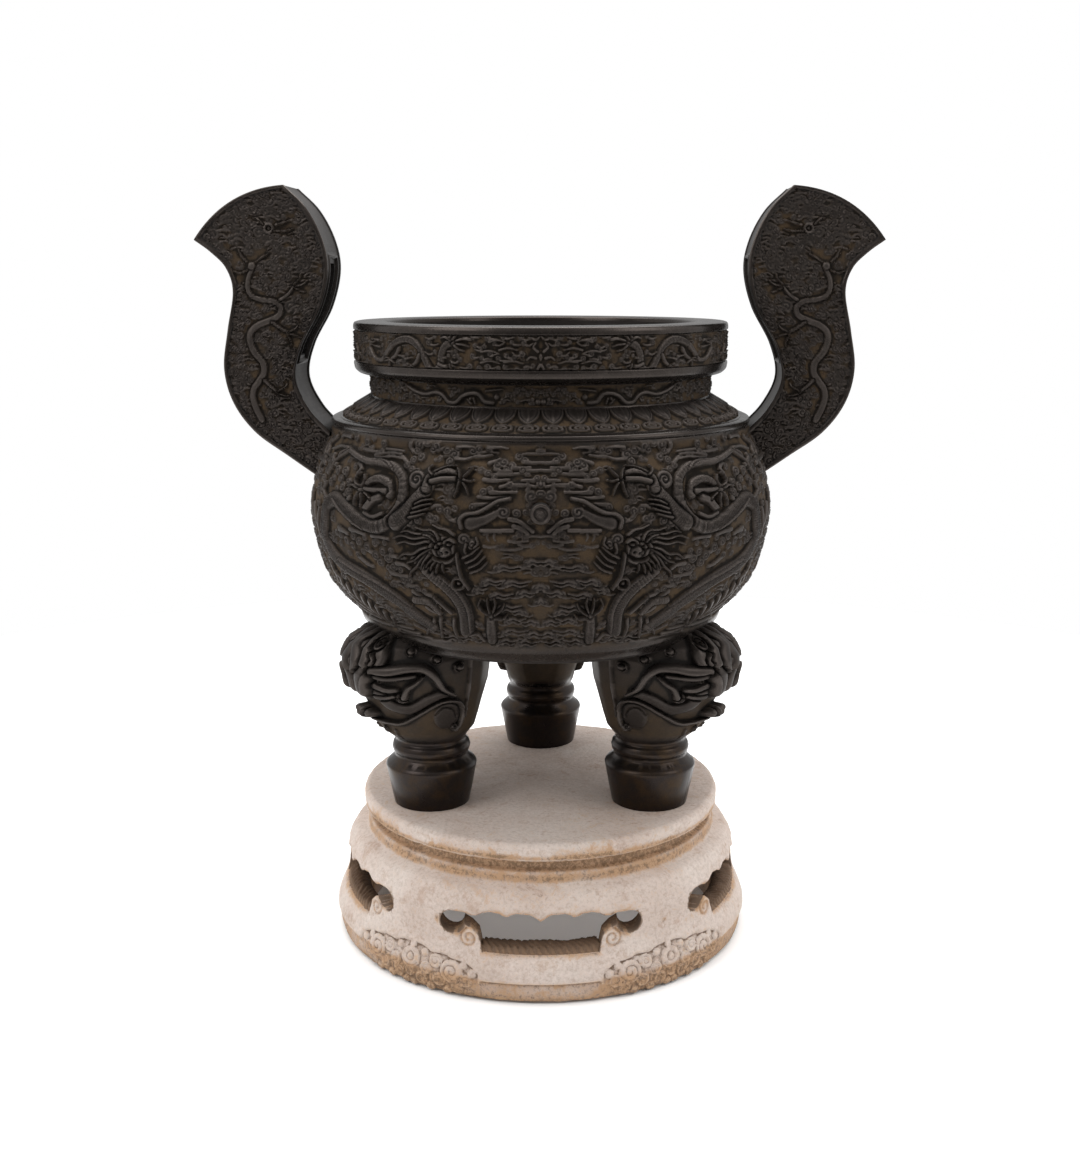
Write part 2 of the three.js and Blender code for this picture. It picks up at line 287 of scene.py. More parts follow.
    def draw(self, art, put, seed=1):
        g = np.random.default_rng(seed)
        for item in art:
            k, p = item[0], [put(*q) for q in item[1]]
            if k == "C":
                r, h = item[2], item[3]
                self.swirl(p[0], r, h, 1 if g.random() < 0.5 else -1, True, g.uniform(0, 6.28))
            elif k == "F":
                self.disc(p[0], item[2], item[3], True, 2.0, 6.0)
            elif k == "C2":
                self.swirl(p[0], item[2], item[3], 1, False)
            elif k == "D":
                self.disc(p[0], item[2], item[3])
            elif k == "K":
                self.ring(p[0], item[2], 3.2, item[3]); self.disc(p[0], item[2] * 0.42, item[3] * 0.7)
            elif k == "R":
                self.tube(p, item[2], item[3], item[4], over=False)
            elif k == "T":
                self.tube(p, item[2], item[3], item[4], flat=0.8)
            elif k == "S":
                self.tube(p, item[2], item[3], item[4], scales=True, flat=2.2)
            elif k == "B":
                self.tube(p, item[2], item[3], item[4], bars=True)
            elif k == "X":
                self.crest(p, item[2] * 0.6, item[4], beads=0.6)
            elif k == "G":
                self.groove(p, item[2], item[3])

    def cavity(self, n_mm, gain=7.0):
        """0 in the recesses, 1 on the raised carving."""
        c = self.h - blur(self.h, n_mm / self.c / 1.7)
        return np.clip(0.5 + c / gain, 0, 1)

    def sample(self, field, u, v):
        x = np.clip((u - self.u0) / self.c, 0, self.nu - 1.001); y = np.clip((v - self.v0) / self.c, 0, self.nv - 1.001)
        i, j = x.astype(int), y.astype(int)
        fx, fy = x - i, y - j
        return (field[j, i] * (1 - fx) + field[j, i + 1] * fx) * (1 - fy) + (field[j + 1, i] * (1 - fx) + field[j + 1, i + 1] * fx) * fy


# ------------------------------------------------------------------ mesh building
def grid_tris(nr, nc, wrap_c=False, wrap_r=False, flip=False):
    R = nr if wrap_r else nr - 1
    C = nc if wrap_c else nc - 1
    j, i = np.meshgrid(np.arange(R), np.arange(C), indexing="ij")
    a = (j * nc + i).ravel(); b = (j * nc + (i + 1) % nc).ravel()
    c = (((j + 1) % nr) * nc + (i + 1) % nc).ravel(); d = (((j + 1) % nr) * nc + i).ravel()
    alt = ((i + j) % 2 == 0).ravel()
    t1 = np.where(alt[:, None], np.stack([a, b, c], 1), np.stack([a, b, d], 1))
    t2 = np.where(alt[:, None], np.stack([a, c, d], 1), np.stack([b, c, d], 1))
    t = np.concatenate([t1, t2])
    return t[:, ::-1] if flip else t


def make_mesh(name, co, tris, attrs=None, normals=None):
    me = bpy.data.meshes.new(name)
    me.vertices.add(len(co)); me.vertices.foreach_set("co", np.ascontiguousarray(co, np.float32).ravel())
    me.loops.add(len(tris) * 3); me.loops.foreach_set("vertex_index", np.ascontiguousarray(tris, np.int32).ravel())
    me.polygons.add(len(tris)); me.polygons.foreach_set("loop_start", np.arange(0, len(tris) * 3, 3, dtype=np.int32))
    me.update(calc_edges=True)
    for k, v in (attrs or {}).items():
        at = me.attributes.new(k, "FLOAT", "POINT")
        at.data.foreach_set("value", np.ascontiguousarray(v, np.float32).ravel())
    me.shade_smooth()
    return me


def get_arrays(me):
    co = np.zeros(len(me.vertices) * 3, np.float32); me.vertices.foreach_get("co", co)
    me.calc_loop_triangles()
    t = np.zeros(len(me.loop_triangles) * 3, np.int32); me.loop_triangles.foreach_get("vertices", t)
    at = {}
    for a in me.attributes:
        if a.data_type == "FLOAT" and a.domain == "POINT":
            v = np.zeros(len(me.vertices), np.float32); a.data.foreach_get("value", v); at[a.name] = v
    return co.reshape(-1, 3), t.reshape(-1, 3), at


def add_object(name, me):
    ob = bpy.data.objects.new(name, me)
    bpy.context.scene.collection.objects.link(ob)
    return ob


def baked(ob, name):
    """Replaces the object's mesh by the result of its modifiers."""
    deps = bpy.context.evaluated_depsgraph_get()
    me = bpy.data.meshes.new_from_object(ob.evaluated_get(deps), depsgraph=deps)
    me.name = name
    ob.modifiers.clear()
    ob.data = me
    return ob


def decimate(ob, ratio):
    if ratio >= 0.999:
        return ob
    m = ob.modifiers.new("d", "DECIMATE")
    m.decimate_type = "COLLAPSE"; m.ratio = ratio; m.use_collapse_triangulate = True
    return baked(ob, ob.data.name)


def vertex_normals(co, tris):
    n = np.zeros_like(co)
    f = np.cross(co[tris[:, 1]] - co[tris[:, 0]], co[tris[:, 2]] - co[tris[:, 0]])
    for k in range(3):
        np.add.at(n, tris[:, k], f)
    return n / np.maximum(np.linalg.norm(n, axis=1, keepdims=True), 1e-12)


def split(ob, cuts):
    """cuts: {name: face mask function of the centroid}. Keeps the joint normals across the seams."""
    co, tris, at = get_arrays(ob.data)
    nrm = vertex_normals(co, tris)
    cen = co[tris].mean(1)
    left = np.ones(len(tris), bool)
    out = []
    for name, test in cuts:
        m = test(cen) & left
        left &= ~m
        t = tris[m]
        ids = np.unique(t)
        back = np.zeros(len(co), np.int64); back[ids] = np.arange(len(ids))
        me = make_mesh(name, co[ids], back[t], {k: v[ids] for k, v in at.items()})
        me.normals_split_custom_set_from_vertices(nrm[ids].tolist())
        o = add_object(name, me)
        out.append(o)
    bpy.data.objects.remove(ob)
    return out


class Profile:
    """Outline (r, z) with an arc-length coordinate v; n is the outward normal."""

    def __init__(self, pts, step=1.5):
        p = [np.asarray(pts[0], float)]
        for a, b in zip(pts[:-1], pts[1:]):
            a, b = np.asarray(a, float), np.asarray(b, float)
            n = max(1, int(np.hypot(*(b - a)) / step))
            for k in range(1, n + 1):
                p.append(a + (b - a) * k / n)
        self.p = np.array(p)
        self.s = np.concatenate([[0], np.cumsum(np.hypot(*np.diff(self.p, axis=0).T))])
        self.len = self.s[-1]

    def at(self, v):
        r = np.interp(v, self.s, self.p[:, 0]); z = np.interp(v, self.s, self.p[:, 1])
        e = 1.2
        dr = np.interp(v + e, self.s, self.p[:, 0]) - np.interp(v - e, self.s, self.p[:, 0])
        dz = np.interp(v + e, self.s, self.p[:, 1]) - np.interp(v - e, self.s, self.p[:, 1])
        l = np.maximum(np.hypot(dr, dz), 1e-9)
        return r, z, dz / l, -dr / l

    def v_of_z(self, z):
        return np.interp(z, self.p[:, 1], self.s)


def rounded(pts, radii, n=5):
    """Polyline with arc-like corners. radii: one number or one per point."""
    pts = [np.asarray(p, float) for p in pts]
    if not hasattr(radii, "__len__"):
        radii = [radii] * len(pts)
    out = [pts[0]]
    for i in range(1, len(pts) - 1):
        a, b, c = pts[i - 1], pts[i], pts[i + 1]
        r = radii[i]
        la, lc = np.hypot(*(a - b)), np.hypot(*(c - b))
        k = min(r, 0.45 * la, 0.45 * lc)
        if k < 0.05:
            out.append(b)
            continue
        p, q = b + (a - b) * k / la, b + (c - b) * k / lc
        for t in np.linspace(0, 1, n):
            out.append((1 - t) ** 2 * p + 2 * t * (1 - t) * b + t * t * q)
    out.append(pts[-1])
    return out


def lathe(name, prof, rows, phis, disp=None, cav=None, closed=True, extra=None):
    """rows: v values; phis: angles from the front; disp(phi, v, r, z) in mm along the normal."""
    r, z, nr, nz = prof.at(rows)
    PH, V = np.meshgrid(phis, rows)
    R, Z = np.broadcast_to(r[:, None], PH.shape), np.broadcast_to(z[:, None], PH.shape)
    H = disp(PH, V, R, Z) if disp else np.zeros_like(PH)
    rr, zz = R + H * nr[:, None], Z + H * nz[:, None]
    co = np.stack([rr * np.sin(PH), -rr * np.cos(PH), zz], -1).reshape(-1, 3) * MM
    tris = grid_tris(len(rows), len(phis), wrap_c=closed)
    at = {"relief": (cav(PH, V) if cav else np.full(PH.shape, 0.5)).ravel()}
    for k, a in (extra(PH, V, R, Z) if extra else {}).items():
        at[k] = np.broadcast_to(a, PH.shape).ravel()
    me = make_mesh(name, co, tris, at)
    return add_object(name, me)


def ring_angles(front, back):
    """Angles right round from the front, finer on the front half."""
    a = np.linspace(-math.pi / 2 - 0.2, math.pi / 2 + 0.2, front, endpoint=False)
    b = np.linspace(math.pi / 2 + 0.2, 3 * math.pi / 2 - 0.2, back, endpoint=False)
    return np.concatenate([a, b])


def fold(phi):
    """Every quarter of the bowl carries the same composition, mirrored: angle in -90..0."""
    p = (np.asarray(phi) + math.pi) % (2 * math.pi) - math.pi
    p = np.where(np.abs(p) > math.pi / 2, np.sign(p) * (math.pi - np.abs(p)), p)
    return -np.abs(p)


# ------------------------------------------------------------------ carving, as strokes on the surface: (kind, [(angle from the front in degrees, height in mm)], sizes in mm)
BELLY_ART = [
    ('C', [(-54.6, 1212)], 10.9, 6.5),
    ('C', [(-49.4, 1207)], 12.0, 6.5),
    ('C', [(-46.7, 1218)], 9.8, 6.5),
    ('C', [(-47.1, 1195)], 8.8, 6.5),
    ('R', [(-49.7, 1190), (-45.5, 1188), (-42.1, 1191)], 5, 3, 5.5),
    ('R', [(-57.8, 1212), (-61.4, 1213), (-64.5, 1206)], 6, 4, 5.5),
    ('C', [(-42.6, 1206)], 10.9, 6.5),
    ('C', [(-43.0, 1192)], 7.7, 6.5),
    ('R', [(-41.4, 1196), (-37.6, 1196), (-35.4, 1195)], 4, 3, 5.5),
    ('C', [(-38.1, 1187)], 6.6, 6.5),
    ('C', [(-39.6, 1182)], 5.5, 6.5),
    ('C', [(-36.1, 1184)], 5.5, 6.5),
    ('R', [(-44.5, 1182), (-40.0, 1189), (-35.9, 1189)], 4, 3, 5.5),
    ('R', [(-44.1, 1176), (-38.7, 1182), (-35.1, 1181)], 4, 3, 5.5),
    ('C', [(-31.0, 1214)], 13.1, 6.5),
    ('C', [(-28.6, 1219)], 10.9, 6.5),
    ('C', [(-26.0, 1212)], 12.0, 6.5),
    ('C', [(-27.0, 1203)], 9.8, 6.5),
    ('C', [(-31.4, 1199)], 9.8, 6.5),
    ('C', [(-29.7, 1188)], 10.9, 6.5),
    ('C', [(-31.6, 1180)], 9.8, 6.5),
    ('R', [(-33.4, 1217), (-33.6, 1206), (-32.5, 1196)], 6, 5, 5.5),
    ('R', [(-25.6, 1202), (-23.6, 1208), (-21.4, 1206)], 5, 3, 5.5),
    ('C', [(-33.2, 1169)], 9.8, 6.5),
    ('C', [(-31.5, 1162)], 8.8, 6.5),
    ('C', [(-29.9, 1159)], 7.7, 6.5),
    ('R', [(-35.2, 1184), (-34.1, 1179), (-33.1, 1174)], 5, 4, 5.5),
    ('C', [(-23.1, 1203)], 10.9, 6.5),
    ('C', [(-21.0, 1195)], 12.0, 6.5),
    ('C', [(-21.7, 1182)], 9.8, 6.5),
    ('C', [(-20.3, 1207)], 7.7, 6.5),
    ('R', [(-20.5, 1188), (-18.1, 1187), (-16.1, 1192)], 5, 3, 5.5),
    ('R', [(-20.4, 1212), (-18.3, 1214), (-16.2, 1212)], 4, 3, 5.5),
    ('C', [(-16.4, 1204)], 10.9, 6.5),
    ('C', [(-14.8, 1209)], 8.8, 6.5),
    ('R', [(-14.9, 1200), (-12.6, 1204), (-10.3, 1202)], 5, 3, 5.5),
    ('R', [(-15.5, 1193), (-13.5, 1194), (-11.7, 1197)], 4, 3, 5.5),
    ('C', [(-12.4, 1210)], 8.2, 6.5),
    ('R', [(-11.9, 1213), (-9.8, 1215), (-7.8, 1212)], 4, 2, 5.5),
    ('C', [(-5.0, 1195)], 9.8, 6.5),
    ('C', [(-3.7, 1188)], 8.8, 6.5),
    ('R', [(-4.1, 1200), (-1.8, 1201), (0.7, 1199)], 4, 3, 5.5),
    ('R', [(-3.4, 1184), (-1.2, 1183), (0.8, 1185)], 5, 3, 5.5),
    ('C', [(0.9, 1216)], 10.9, 6.5),
    ('R', [(-0.9, 1223), (0.1, 1220), (0.9, 1221)], 5, 4, 5.5),
    ('R', [(-0.7, 1207), (0.1, 1209), (0.9, 1211)], 5, 4, 5.5),
    ('C', [(-10.0, 1178)], 9.8, 6.5),
    ('C', [(-8.5, 1183)], 10.9, 6.5),
    ('C', [(-6.7, 1177)], 9.8, 6.5),
    ('C', [(-7.7, 1171)], 7.7, 6.5),
    ('R', [(-12.0, 1182), (-10.7, 1185), (-9.5, 1190)], 5, 3, 5.5),
    ('R', [(-6.5, 1173), (-4.3, 1173), (-2.4, 1175)], 5, 3, 5.5),
    ('R', [(-10.5, 1170), (-8.6, 1167), (-6.7, 1167)], 4, 3, 5.5),
    ('C', [(-12.0, 1162)], 8.2, 6.5),
    ('C', [(-10.4, 1157)], 7.7, 6.5),
    ('R', [(-9.8, 1161), (-7.3, 1161), (-4.8, 1164)], 5, 3, 5.5),
    ('R', [(-12.8, 1151), (-10.3, 1149), (-7.2, 1152)], 5, 3, 5.5),
    ('C', [(-4.1, 1169)], 8.8, 6.5),
    ('C', [(-3.0, 1163)], 6.6, 6.5),
    ('R', [(-3.0, 1170), (-1.2, 1169), (0.7, 1171)], 4, 3, 5.5),
    ('C', [(-12.7, 1127)], 8.8, 6.5),
    ('C', [(-11.3, 1132)], 7.7, 6.5),
    ('R', [(-11.1, 1127), (-8.3, 1127), (-5.3, 1129)], 5, 3, 5.5),
    ('R', [(-13.8, 1118), (-10.7, 1116), (-7.7, 1119)], 4, 3, 5.5),
    ('C', [(-6.9, 1141)], 8.8, 6.5),
    ('C', [(-5.8, 1136)], 6.6, 6.5),
    ('R', [(-9.0, 1138), (-7.8, 1141), (-6.9, 1145)], 4, 3, 5.5),
    ('R', [(-6.0, 1141), (-3.5, 1142), (-1.1, 1139)], 5, 3, 5.5),
    ('C', [(0.1, 1145)], 9.8, 6.5),
    ('C', [(-0.8, 1154)], 7.7, 6.5),
    ('R', [(-1.7, 1150), (-3.0, 1151), (-4.2, 1150)], 5, 3, 5.5),
    ('C', [(-2.0, 1120)], 13.1, 6),
    ('C', [(-0.4, 1125)], 8.8, 6),
    ('R', [(-2.9, 1133), (-2.6, 1140), (-2.9, 1146)], 5, 3, 5),
    ('C', [(-14.9, 1097)], 8.8, 6.5),
    ('C', [(-13.8, 1091)], 6.6, 6.5),
    ('R', [(-14.4, 1102), (-11.9, 1104), (-9.5, 1103)], 5, 3, 5.5),
    ('C', [(-57.7, 1140)], 10.9, 9),
    ('C', [(-53.8, 1141)], 10.9, 9),
    ('C', [(-55.2, 1125)], 8.8, 9),
    ('C', [(-59.0, 1124)], 7.7, 9),
    ('R', [(-59.6, 1150), (-62.5, 1159), (-62.9, 1168)], 5, 4, 8),
    ('C', [(-53.8, 1110)], 10.9, 9),
    ('C', [(-51.2, 1123)], 8.8, 9),
    ('C', [(-56.3, 1102)], 7.7, 9),
    ('C', [(-50.9, 1100)], 10.9, 9),
    ('C', [(-52.7, 1092)], 7.7, 9),
    ('C', [(-50.4, 1108)], 7.7, 9),
    ('R', [(-50.0, 1091), (-50.9, 1084), (-52.4, 1085)], 5, 3, 8),
    ('C', [(-60.1, 1113)], 9.8, 9),
    ('C', [(-65.3, 1116)], 9.8, 9),
    ('C', [(-69.0, 1127)], 8.8, 9),
    ('R', [(-69.1, 1155), (-70.9, 1138), (-70.5, 1123)], 6, 5, 8),
    ('R', [(-84.4, 1176), (-82.1, 1153), (-68.3, 1150)], 6, 5, 8),
    ('R', [(-72.1, 1188), (-71.9, 1164), (-67.3, 1145)], 6, 5, 8),
    ('R', [(-68.1, 1204), (-70.6, 1184), (-69.2, 1167)], 6, 5, 8),
    ('C', [(-65.9, 1088)], 8.8, 9),
    ('C', [(-62.3, 1077)], 8.8, 9),
    ('C', [(-66.6, 1057)], 8.8, 9),
    ('R', [(-70.0, 1055), (-68.3, 1026), (-66.1, 1005)], 6, 5, 8),
    ('R', [(-74.7, 1074), (-73.4, 1044), (-69.7, 1024)], 6, 5, 8),
    ('R', [(-65.3, 1049), (-66.3, 1017), (-65.8, 986)], 5, 4, 8),
    ('C', [(-50.2, 1156)], 8.8, 8),
    ('R', [(-49.0, 1163), (-47.4, 1153), (-48.4, 1143)], 6, 4, 7),
    ('C', [(-20.9, 1087)], 9.8, 6.5),
    ('C', [(-22.7, 1089)], 8.8, 6.5),
    ('C', [(-19.3, 1092)], 7.7, 6.5),
    ('R', [(-25.3, 1091), (-24.0, 1096), (-22.7, 1097)], 5, 3, 5.5),
    ('R', [(-20.8, 1078), (-19.8, 1070), (-18.2, 1068)], 5, 3, 5.5),
    ('G', [(-21.9, 1096), (-20.0, 1094), (-18.3, 1090)], 1.3, 2.6),
    ('G', [(-21.3, 1083), (-20.8, 1075), (-19.8, 1071)], 1.3, 2.6),
    ('C', [(-25.1, 1072)], 9.8, 6.5),
    ('C', [(-23.6, 1069)], 8.8, 6.5),
    ('R', [(-24.4, 1062), (-22.4, 1053), (-19.8, 1049)], 5, 3, 5.5),
    ('R', [(-26.6, 1078), (-28.0, 1080), (-28.7, 1075)], 5, 3, 5.5),
    ('C', [(-29.9, 1059)], 10.9, 7),
    ('C', [(-28.0, 1063)], 9.8, 7),
    ('C', [(-28.9, 1049)], 7.7, 7),
    ('R', [(-31.3, 1049), (-31.7, 1039), (-30.6, 1034)], 5, 4, 6),
    ('C', [(-17.6, 1075)], 7.7, 6.5),
    ('R', [(-18.6, 1071), (-17.3, 1062), (-15.4, 1058)], 5, 3, 5.5),
    ('C', [(-53.1, 1008)], 8.8, 6.5),
    ('C', [(-50.9, 999)], 9.8, 6.5),
    ('C', [(-54.0, 989)], 7.7, 6.5),
    ('R', [(-53.9, 1023), (-52.1, 1019), (-50.2, 1014)], 5, 4, 5.5),
    ('C', [(-47.7, 1013)], 9.8, 6.5),
    ('C', [(-45.8, 1003)], 9.8, 6.5),
    ('C', [(-48.8, 990)], 8.8, 6.5),
    ('C', [(-43.6, 1015)], 7.7, 6.5),
    ('R', [(-49.0, 1026), (-45.8, 1024), (-43.4, 1021)], 5, 4, 5.5),
    ('C', [(-43.1, 994)], 10.9, 6.5),
    ('C', [(-40.5, 1006)], 8.8, 6.5),
    ('C', [(-44.8, 983)], 7.7, 6.5),
    ('R', [(-42.3, 986), (-40.1, 980), (-39.2, 972)], 5, 4, 5.5),
    ('C', [(-40.6, 979)], 10.9, 6.5),
    ('C', [(-38.2, 991)], 9.8, 6.5),
    ('C', [(-36.7, 978)], 10.9, 6.5),
    ('C', [(-39.3, 966)], 9.8, 6.5),
    ('C', [(-35.6, 994)], 7.7, 6.5),
    ('R', [(-35.8, 985), (-33.4, 982), (-31.8, 984)], 5, 4, 5.5),
    ('C', [(-47.1, 971)], 8.8, 6.5),
    ('C', [(-50.5, 972)], 7.7, 6.5),
    ('R', [(-46.2, 966), (-44.0, 956), (-42.2, 953)], 5, 4, 5.5),
    ('C', [(-35.4, 961)], 9.8, 6.5),
    ('C', [(-33.5, 957)], 8.8, 6.5),
    ('C', [(-37.2, 956)], 7.7, 6.5),
    ('R', [(-34.4, 969), (-32.1, 968), (-30.6, 960)], 5, 4, 5.5),
    ('C', [(-39.5, 1011)], 6.6, 6.5),
    ('C', [(-37.4, 1010)], 6.6, 6.5),
    ('R', [(-41.1, 1021), (-38.1, 1021), (-36.0, 1019)], 5, 3, 5.5),
    ('C', [(-33.2, 936)], 8.8, 6.5),
    ('C', [(-31.2, 935)], 8.8, 6.5),
    ('C', [(-32.7, 923)], 7.7, 6.5),
    ('R', [(-36.6, 948), (-34.2, 944), (-31.8, 944)], 5, 4, 5.5),
    ('R', [(-31.8, 925), (-29.3, 919), (-28.0, 911)], 6, 4, 5.5),
    ('C', [(-29.7, 919)], 8.8, 6.5),
    ('C', [(-27.9, 914)], 7.7, 6.5),
    ('C', [(-26.9, 931)], 6.6, 6.5),
    ('R', [(-31.0, 911), (-29.0, 900), (-27.1, 890)], 5, 4, 5.5),
    ('R', [(-27.3, 909), (-25.6, 904), (-24.8, 892)], 5, 4, 5.5),
    ('C', [(-26.0, 891)], 8.8, 6.5),
    ('C', [(-25.2, 879)], 7.7, 6.5),
    ('R', [(-28.2, 879), (-26.9, 870), (-24.9, 866)], 5, 4, 5.5),
    ('C', [(-9.5, 975)], 8.5, 6.8),
    ('C', [(-8.7, 981)], 6, 6.4),
    ('C', [(-10.1, 970)], 5, 6.0),
    ('R', [(-9.1, 978), (-8.0, 982), (-6.5, 978), (-4.2, 982)], 3.4, 1.6, 6.0),
    ('R', [(-9.2, 970), (-8.0, 975), (-6.5, 971), (-5.0, 974)], 3.4, 1.6, 6.0),
    ('R', [(-9.8, 968), (-10.8, 966), (-11.7, 968)], 2.8, 1.5, 5.0),
    ('C', [(-2.9, 988)], 8.5, 6.8),
    ('C', [(-2.1, 993)], 6, 6.4),
    ('C', [(-3.5, 983)], 5, 6.0),
    ('R', [(-2.6, 991), (-1.8, 995), (-0.7, 991), (1.0, 994)], 3.4, 1.6, 6.0),
    ('R', [(-2.6, 983), (-1.8, 988), (-0.7, 983), (0.2, 986)], 3.4, 1.6, 6.0),
    ('R', [(-3.2, 981), (-4.2, 979), (-5.0, 982)], 2.8, 1.5, 5.0),
    ('C', [(-12.7, 944)], 8.5, 6.8),
    ('C', [(-11.9, 950)], 6, 6.4),
    ('C', [(-13.4, 939)], 5, 6.0),
    ('R', [(-12.4, 947), (-11.4, 952), (-10.0, 947), (-7.9, 952)], 3.4, 1.6, 6.0),
    ('R', [(-12.4, 939), (-11.4, 944), (-10.0, 940), (-8.8, 944)], 3.4, 1.6, 6.0),
    ('R', [(-13.2, 936), (-14.2, 934), (-15.0, 937)], 2.8, 1.5, 5.0),
    ('C', [(-7.8, 943)], 8.5, 6.8),
    ('C', [(-7.0, 948)], 6, 6.4),
    ('C', [(-8.4, 938)], 5, 6.0),
    ('R', [(-7.5, 946), (-6.2, 950), (-4.6, 946), (-2.1, 950)], 3.4, 1.6, 6.0),
    ('R', [(-7.5, 938), (-6.2, 943), (-4.6, 938), (-3.0, 942)], 3.4, 1.6, 6.0),
    ('R', [(-8.2, 935), (-9.2, 933), (-10.0, 936)], 2.8, 1.5, 5.0),
    ('C', [(-1.1, 935)], 8.5, 6.8),
    ('C', [(-0.3, 940)], 6, 6.4),
    ('C', [(-1.7, 930)], 5, 6.0),
    ('R', [(-0.8, 938), (-0.2, 942), (0.7, 937), (2.2, 941)], 3.4, 1.6, 6.0),
    ('R', [(-0.8, 930), (-0.2, 934), (0.8, 929), (1.4, 933)], 3.4, 1.6, 6.0),
    ('R', [(-1.5, 928), (-2.5, 926), (-3.3, 929)], 2.8, 1.5, 5.0),
    ('C', [(-11.0, 914)], 8.5, 6.8),
    ('C', [(-10.2, 920)], 6, 6.4),
    ('C', [(-11.7, 909)], 5, 6.0),
    ('R', [(-10.7, 917), (-9.7, 922), (-8.3, 918), (-6.2, 922)], 3.4, 1.6, 6.0),
    ('R', [(-10.8, 909), (-9.7, 914), (-8.4, 910), (-7.1, 914)], 3.4, 1.6, 6.0),
    ('R', [(-11.5, 907), (-12.6, 904), (-13.4, 907)], 2.8, 1.5, 5.0),
    ('C', [(-4.7, 921)], 8.5, 6.8),
    ('C', [(-3.9, 927)], 6, 6.4),
    ('C', [(-5.3, 916)], 5, 6.0),
    ('R', [(-4.4, 924), (-3.6, 929), (-2.4, 924), (-0.6, 927)], 3.4, 1.6, 6.0),
    ('R', [(-4.4, 916), (-3.6, 921), (-2.4, 916), (-1.5, 920)], 3.4, 1.6, 6.0),
    ('R', [(-5.1, 914), (-6.1, 912), (-6.9, 914)], 2.8, 1.5, 5.0),
    ('C', [(-0.7, 904)], 8.5, 6.8),
    ('C', [(0.1, 910)], 6, 6.4),
    ('C', [(-1.3, 899)], 5, 6.0),
    ('R', [(-0.3, 907), (0.1, 912), (0.9, 907), (2.1, 910)], 3.4, 1.6, 6.0),
    ('R', [(-1.0, 897), (-2.0, 895), (-2.9, 898)], 2.8, 1.5, 5.0),
    ('C', [(-9.4, 888)], 8.5, 6.8),
    ('C', [(-8.5, 894)], 6, 6.4),
    ('C', [(-10.1, 883)], 5, 6.0),
    ('R', [(-9.0, 892), (-8.0, 896), (-6.6, 892), (-4.5, 896)], 3.4, 1.6, 6.0),
    ('R', [(-9.1, 883), (-8.0, 888), (-6.7, 883), (-5.4, 888)], 3.4, 1.6, 6.0),
    ('R', [(-9.8, 880), (-10.9, 878), (-11.8, 881)], 2.8, 1.5, 5.0),
    ('C', [(-4.0, 881)], 8.5, 6.8),
    ('C', [(-4.8, 886)], 6, 6.4),
    ('C', [(-3.3, 876)], 5, 6.0),
    ('R', [(-4.3, 884), (-4.9, 888), (-5.9, 883), (-7.4, 886)], 3.4, 1.6, 6.0),
    ('R', [(-4.3, 876), (-4.9, 880), (-6.0, 875), (-6.6, 878)], 3.4, 1.6, 6.0),
    ('R', [(-3.6, 873), (-2.6, 871), (-1.7, 875)], 2.8, 1.5, 5.0),
    ('C', [(-7.9, 858)], 8.5, 6.8),
    ('C', [(-7.0, 865)], 6, 6.4),
    ('C', [(-8.7, 852)], 5, 6.0),
    ('R', [(-7.5, 862), (-6.6, 867), (-5.4, 862), (-3.5, 866)], 3.4, 1.6, 6.0),
    ('R', [(-7.7, 853), (-6.7, 858), (-5.5, 852), (-4.5, 857)], 3.4, 1.6, 6.0),
    ('R', [(-8.4, 849), (-9.6, 847), (-10.4, 850)], 2.8, 1.5, 5.0),
    ('C', [(-1.2, 855)], 8.5, 6.8),
    ('C', [(-2.1, 861)], 6, 6.4),
    ('C', [(-0.6, 849)], 5, 6.0),
    ('R', [(-1.5, 858), (-2.4, 863), (-3.7, 857), (-5.5, 861)], 3.4, 1.6, 6.0),
    ('R', [(-1.6, 849), (-2.4, 854), (-3.7, 848), (-4.7, 852)], 3.4, 1.6, 6.0),
    ('R', [(-0.8, 846), (0.2, 844), (1.2, 847)], 2.8, 1.5, 5.0),
    ('C', [(-9.3, 827)], 8.5, 6.8),
    ('C', [(-8.2, 834)], 6, 6.4),
    ('C', [(-10.2, 820)], 5, 6.0),
    ('R', [(-8.9, 831), (-7.5, 837), (-5.8, 832), (-3.1, 836)], 3.4, 1.6, 6.0),
    ('R', [(-9.1, 821), (-7.6, 827), (-5.9, 821), (-4.1, 826)], 3.4, 1.6, 6.0),
    ('R', [(-10.0, 817), (-11.2, 814), (-12.1, 818)], 2.8, 1.5, 5.0),
    ('C', [(-3.4, 821)], 8.5, 6.8),
    ('C', [(-2.5, 828)], 6, 6.4),
    ('C', [(-4.2, 815)], 5, 6.0),
    ('R', [(-3.0, 825), (-1.9, 831), (-0.4, 824), (2.0, 829)], 3.4, 1.6, 6.0),
    ('R', [(-3.1, 815), (-1.9, 820), (-0.4, 814), (1.0, 819)], 3.4, 1.6, 6.0),
    ('R', [(-3.9, 811), (-5.1, 809), (-6.1, 812)], 2.8, 1.5, 5.0),
    ('C', [(-5.9, 797)], 8.5, 6.8),
    ('C', [(-4.8, 804)], 6, 6.4),
    ('C', [(-6.8, 790)], 5, 6.0),
    ('R', [(-5.4, 801), (-4.2, 807), (-2.6, 800), (-0.1, 805)], 3.4, 1.6, 6.0),
    ('R', [(-5.6, 790), (-4.3, 796), (-2.7, 790), (-1.2, 795)], 3.4, 1.6, 6.0),
    ('R', [(-6.5, 787), (-7.8, 784), (-8.8, 787)], 2.8, 1.5, 5.0),
    ('C', [(-11.1, 798)], 8.5, 6.8),
    ('C', [(-9.9, 806)], 6, 6.4),
    ('C', [(-12.1, 791)], 5, 6.0),
    ('R', [(-10.6, 803), (-9.5, 809), (-8.2, 803), (-6.0, 808)], 3.4, 1.6, 6.0),
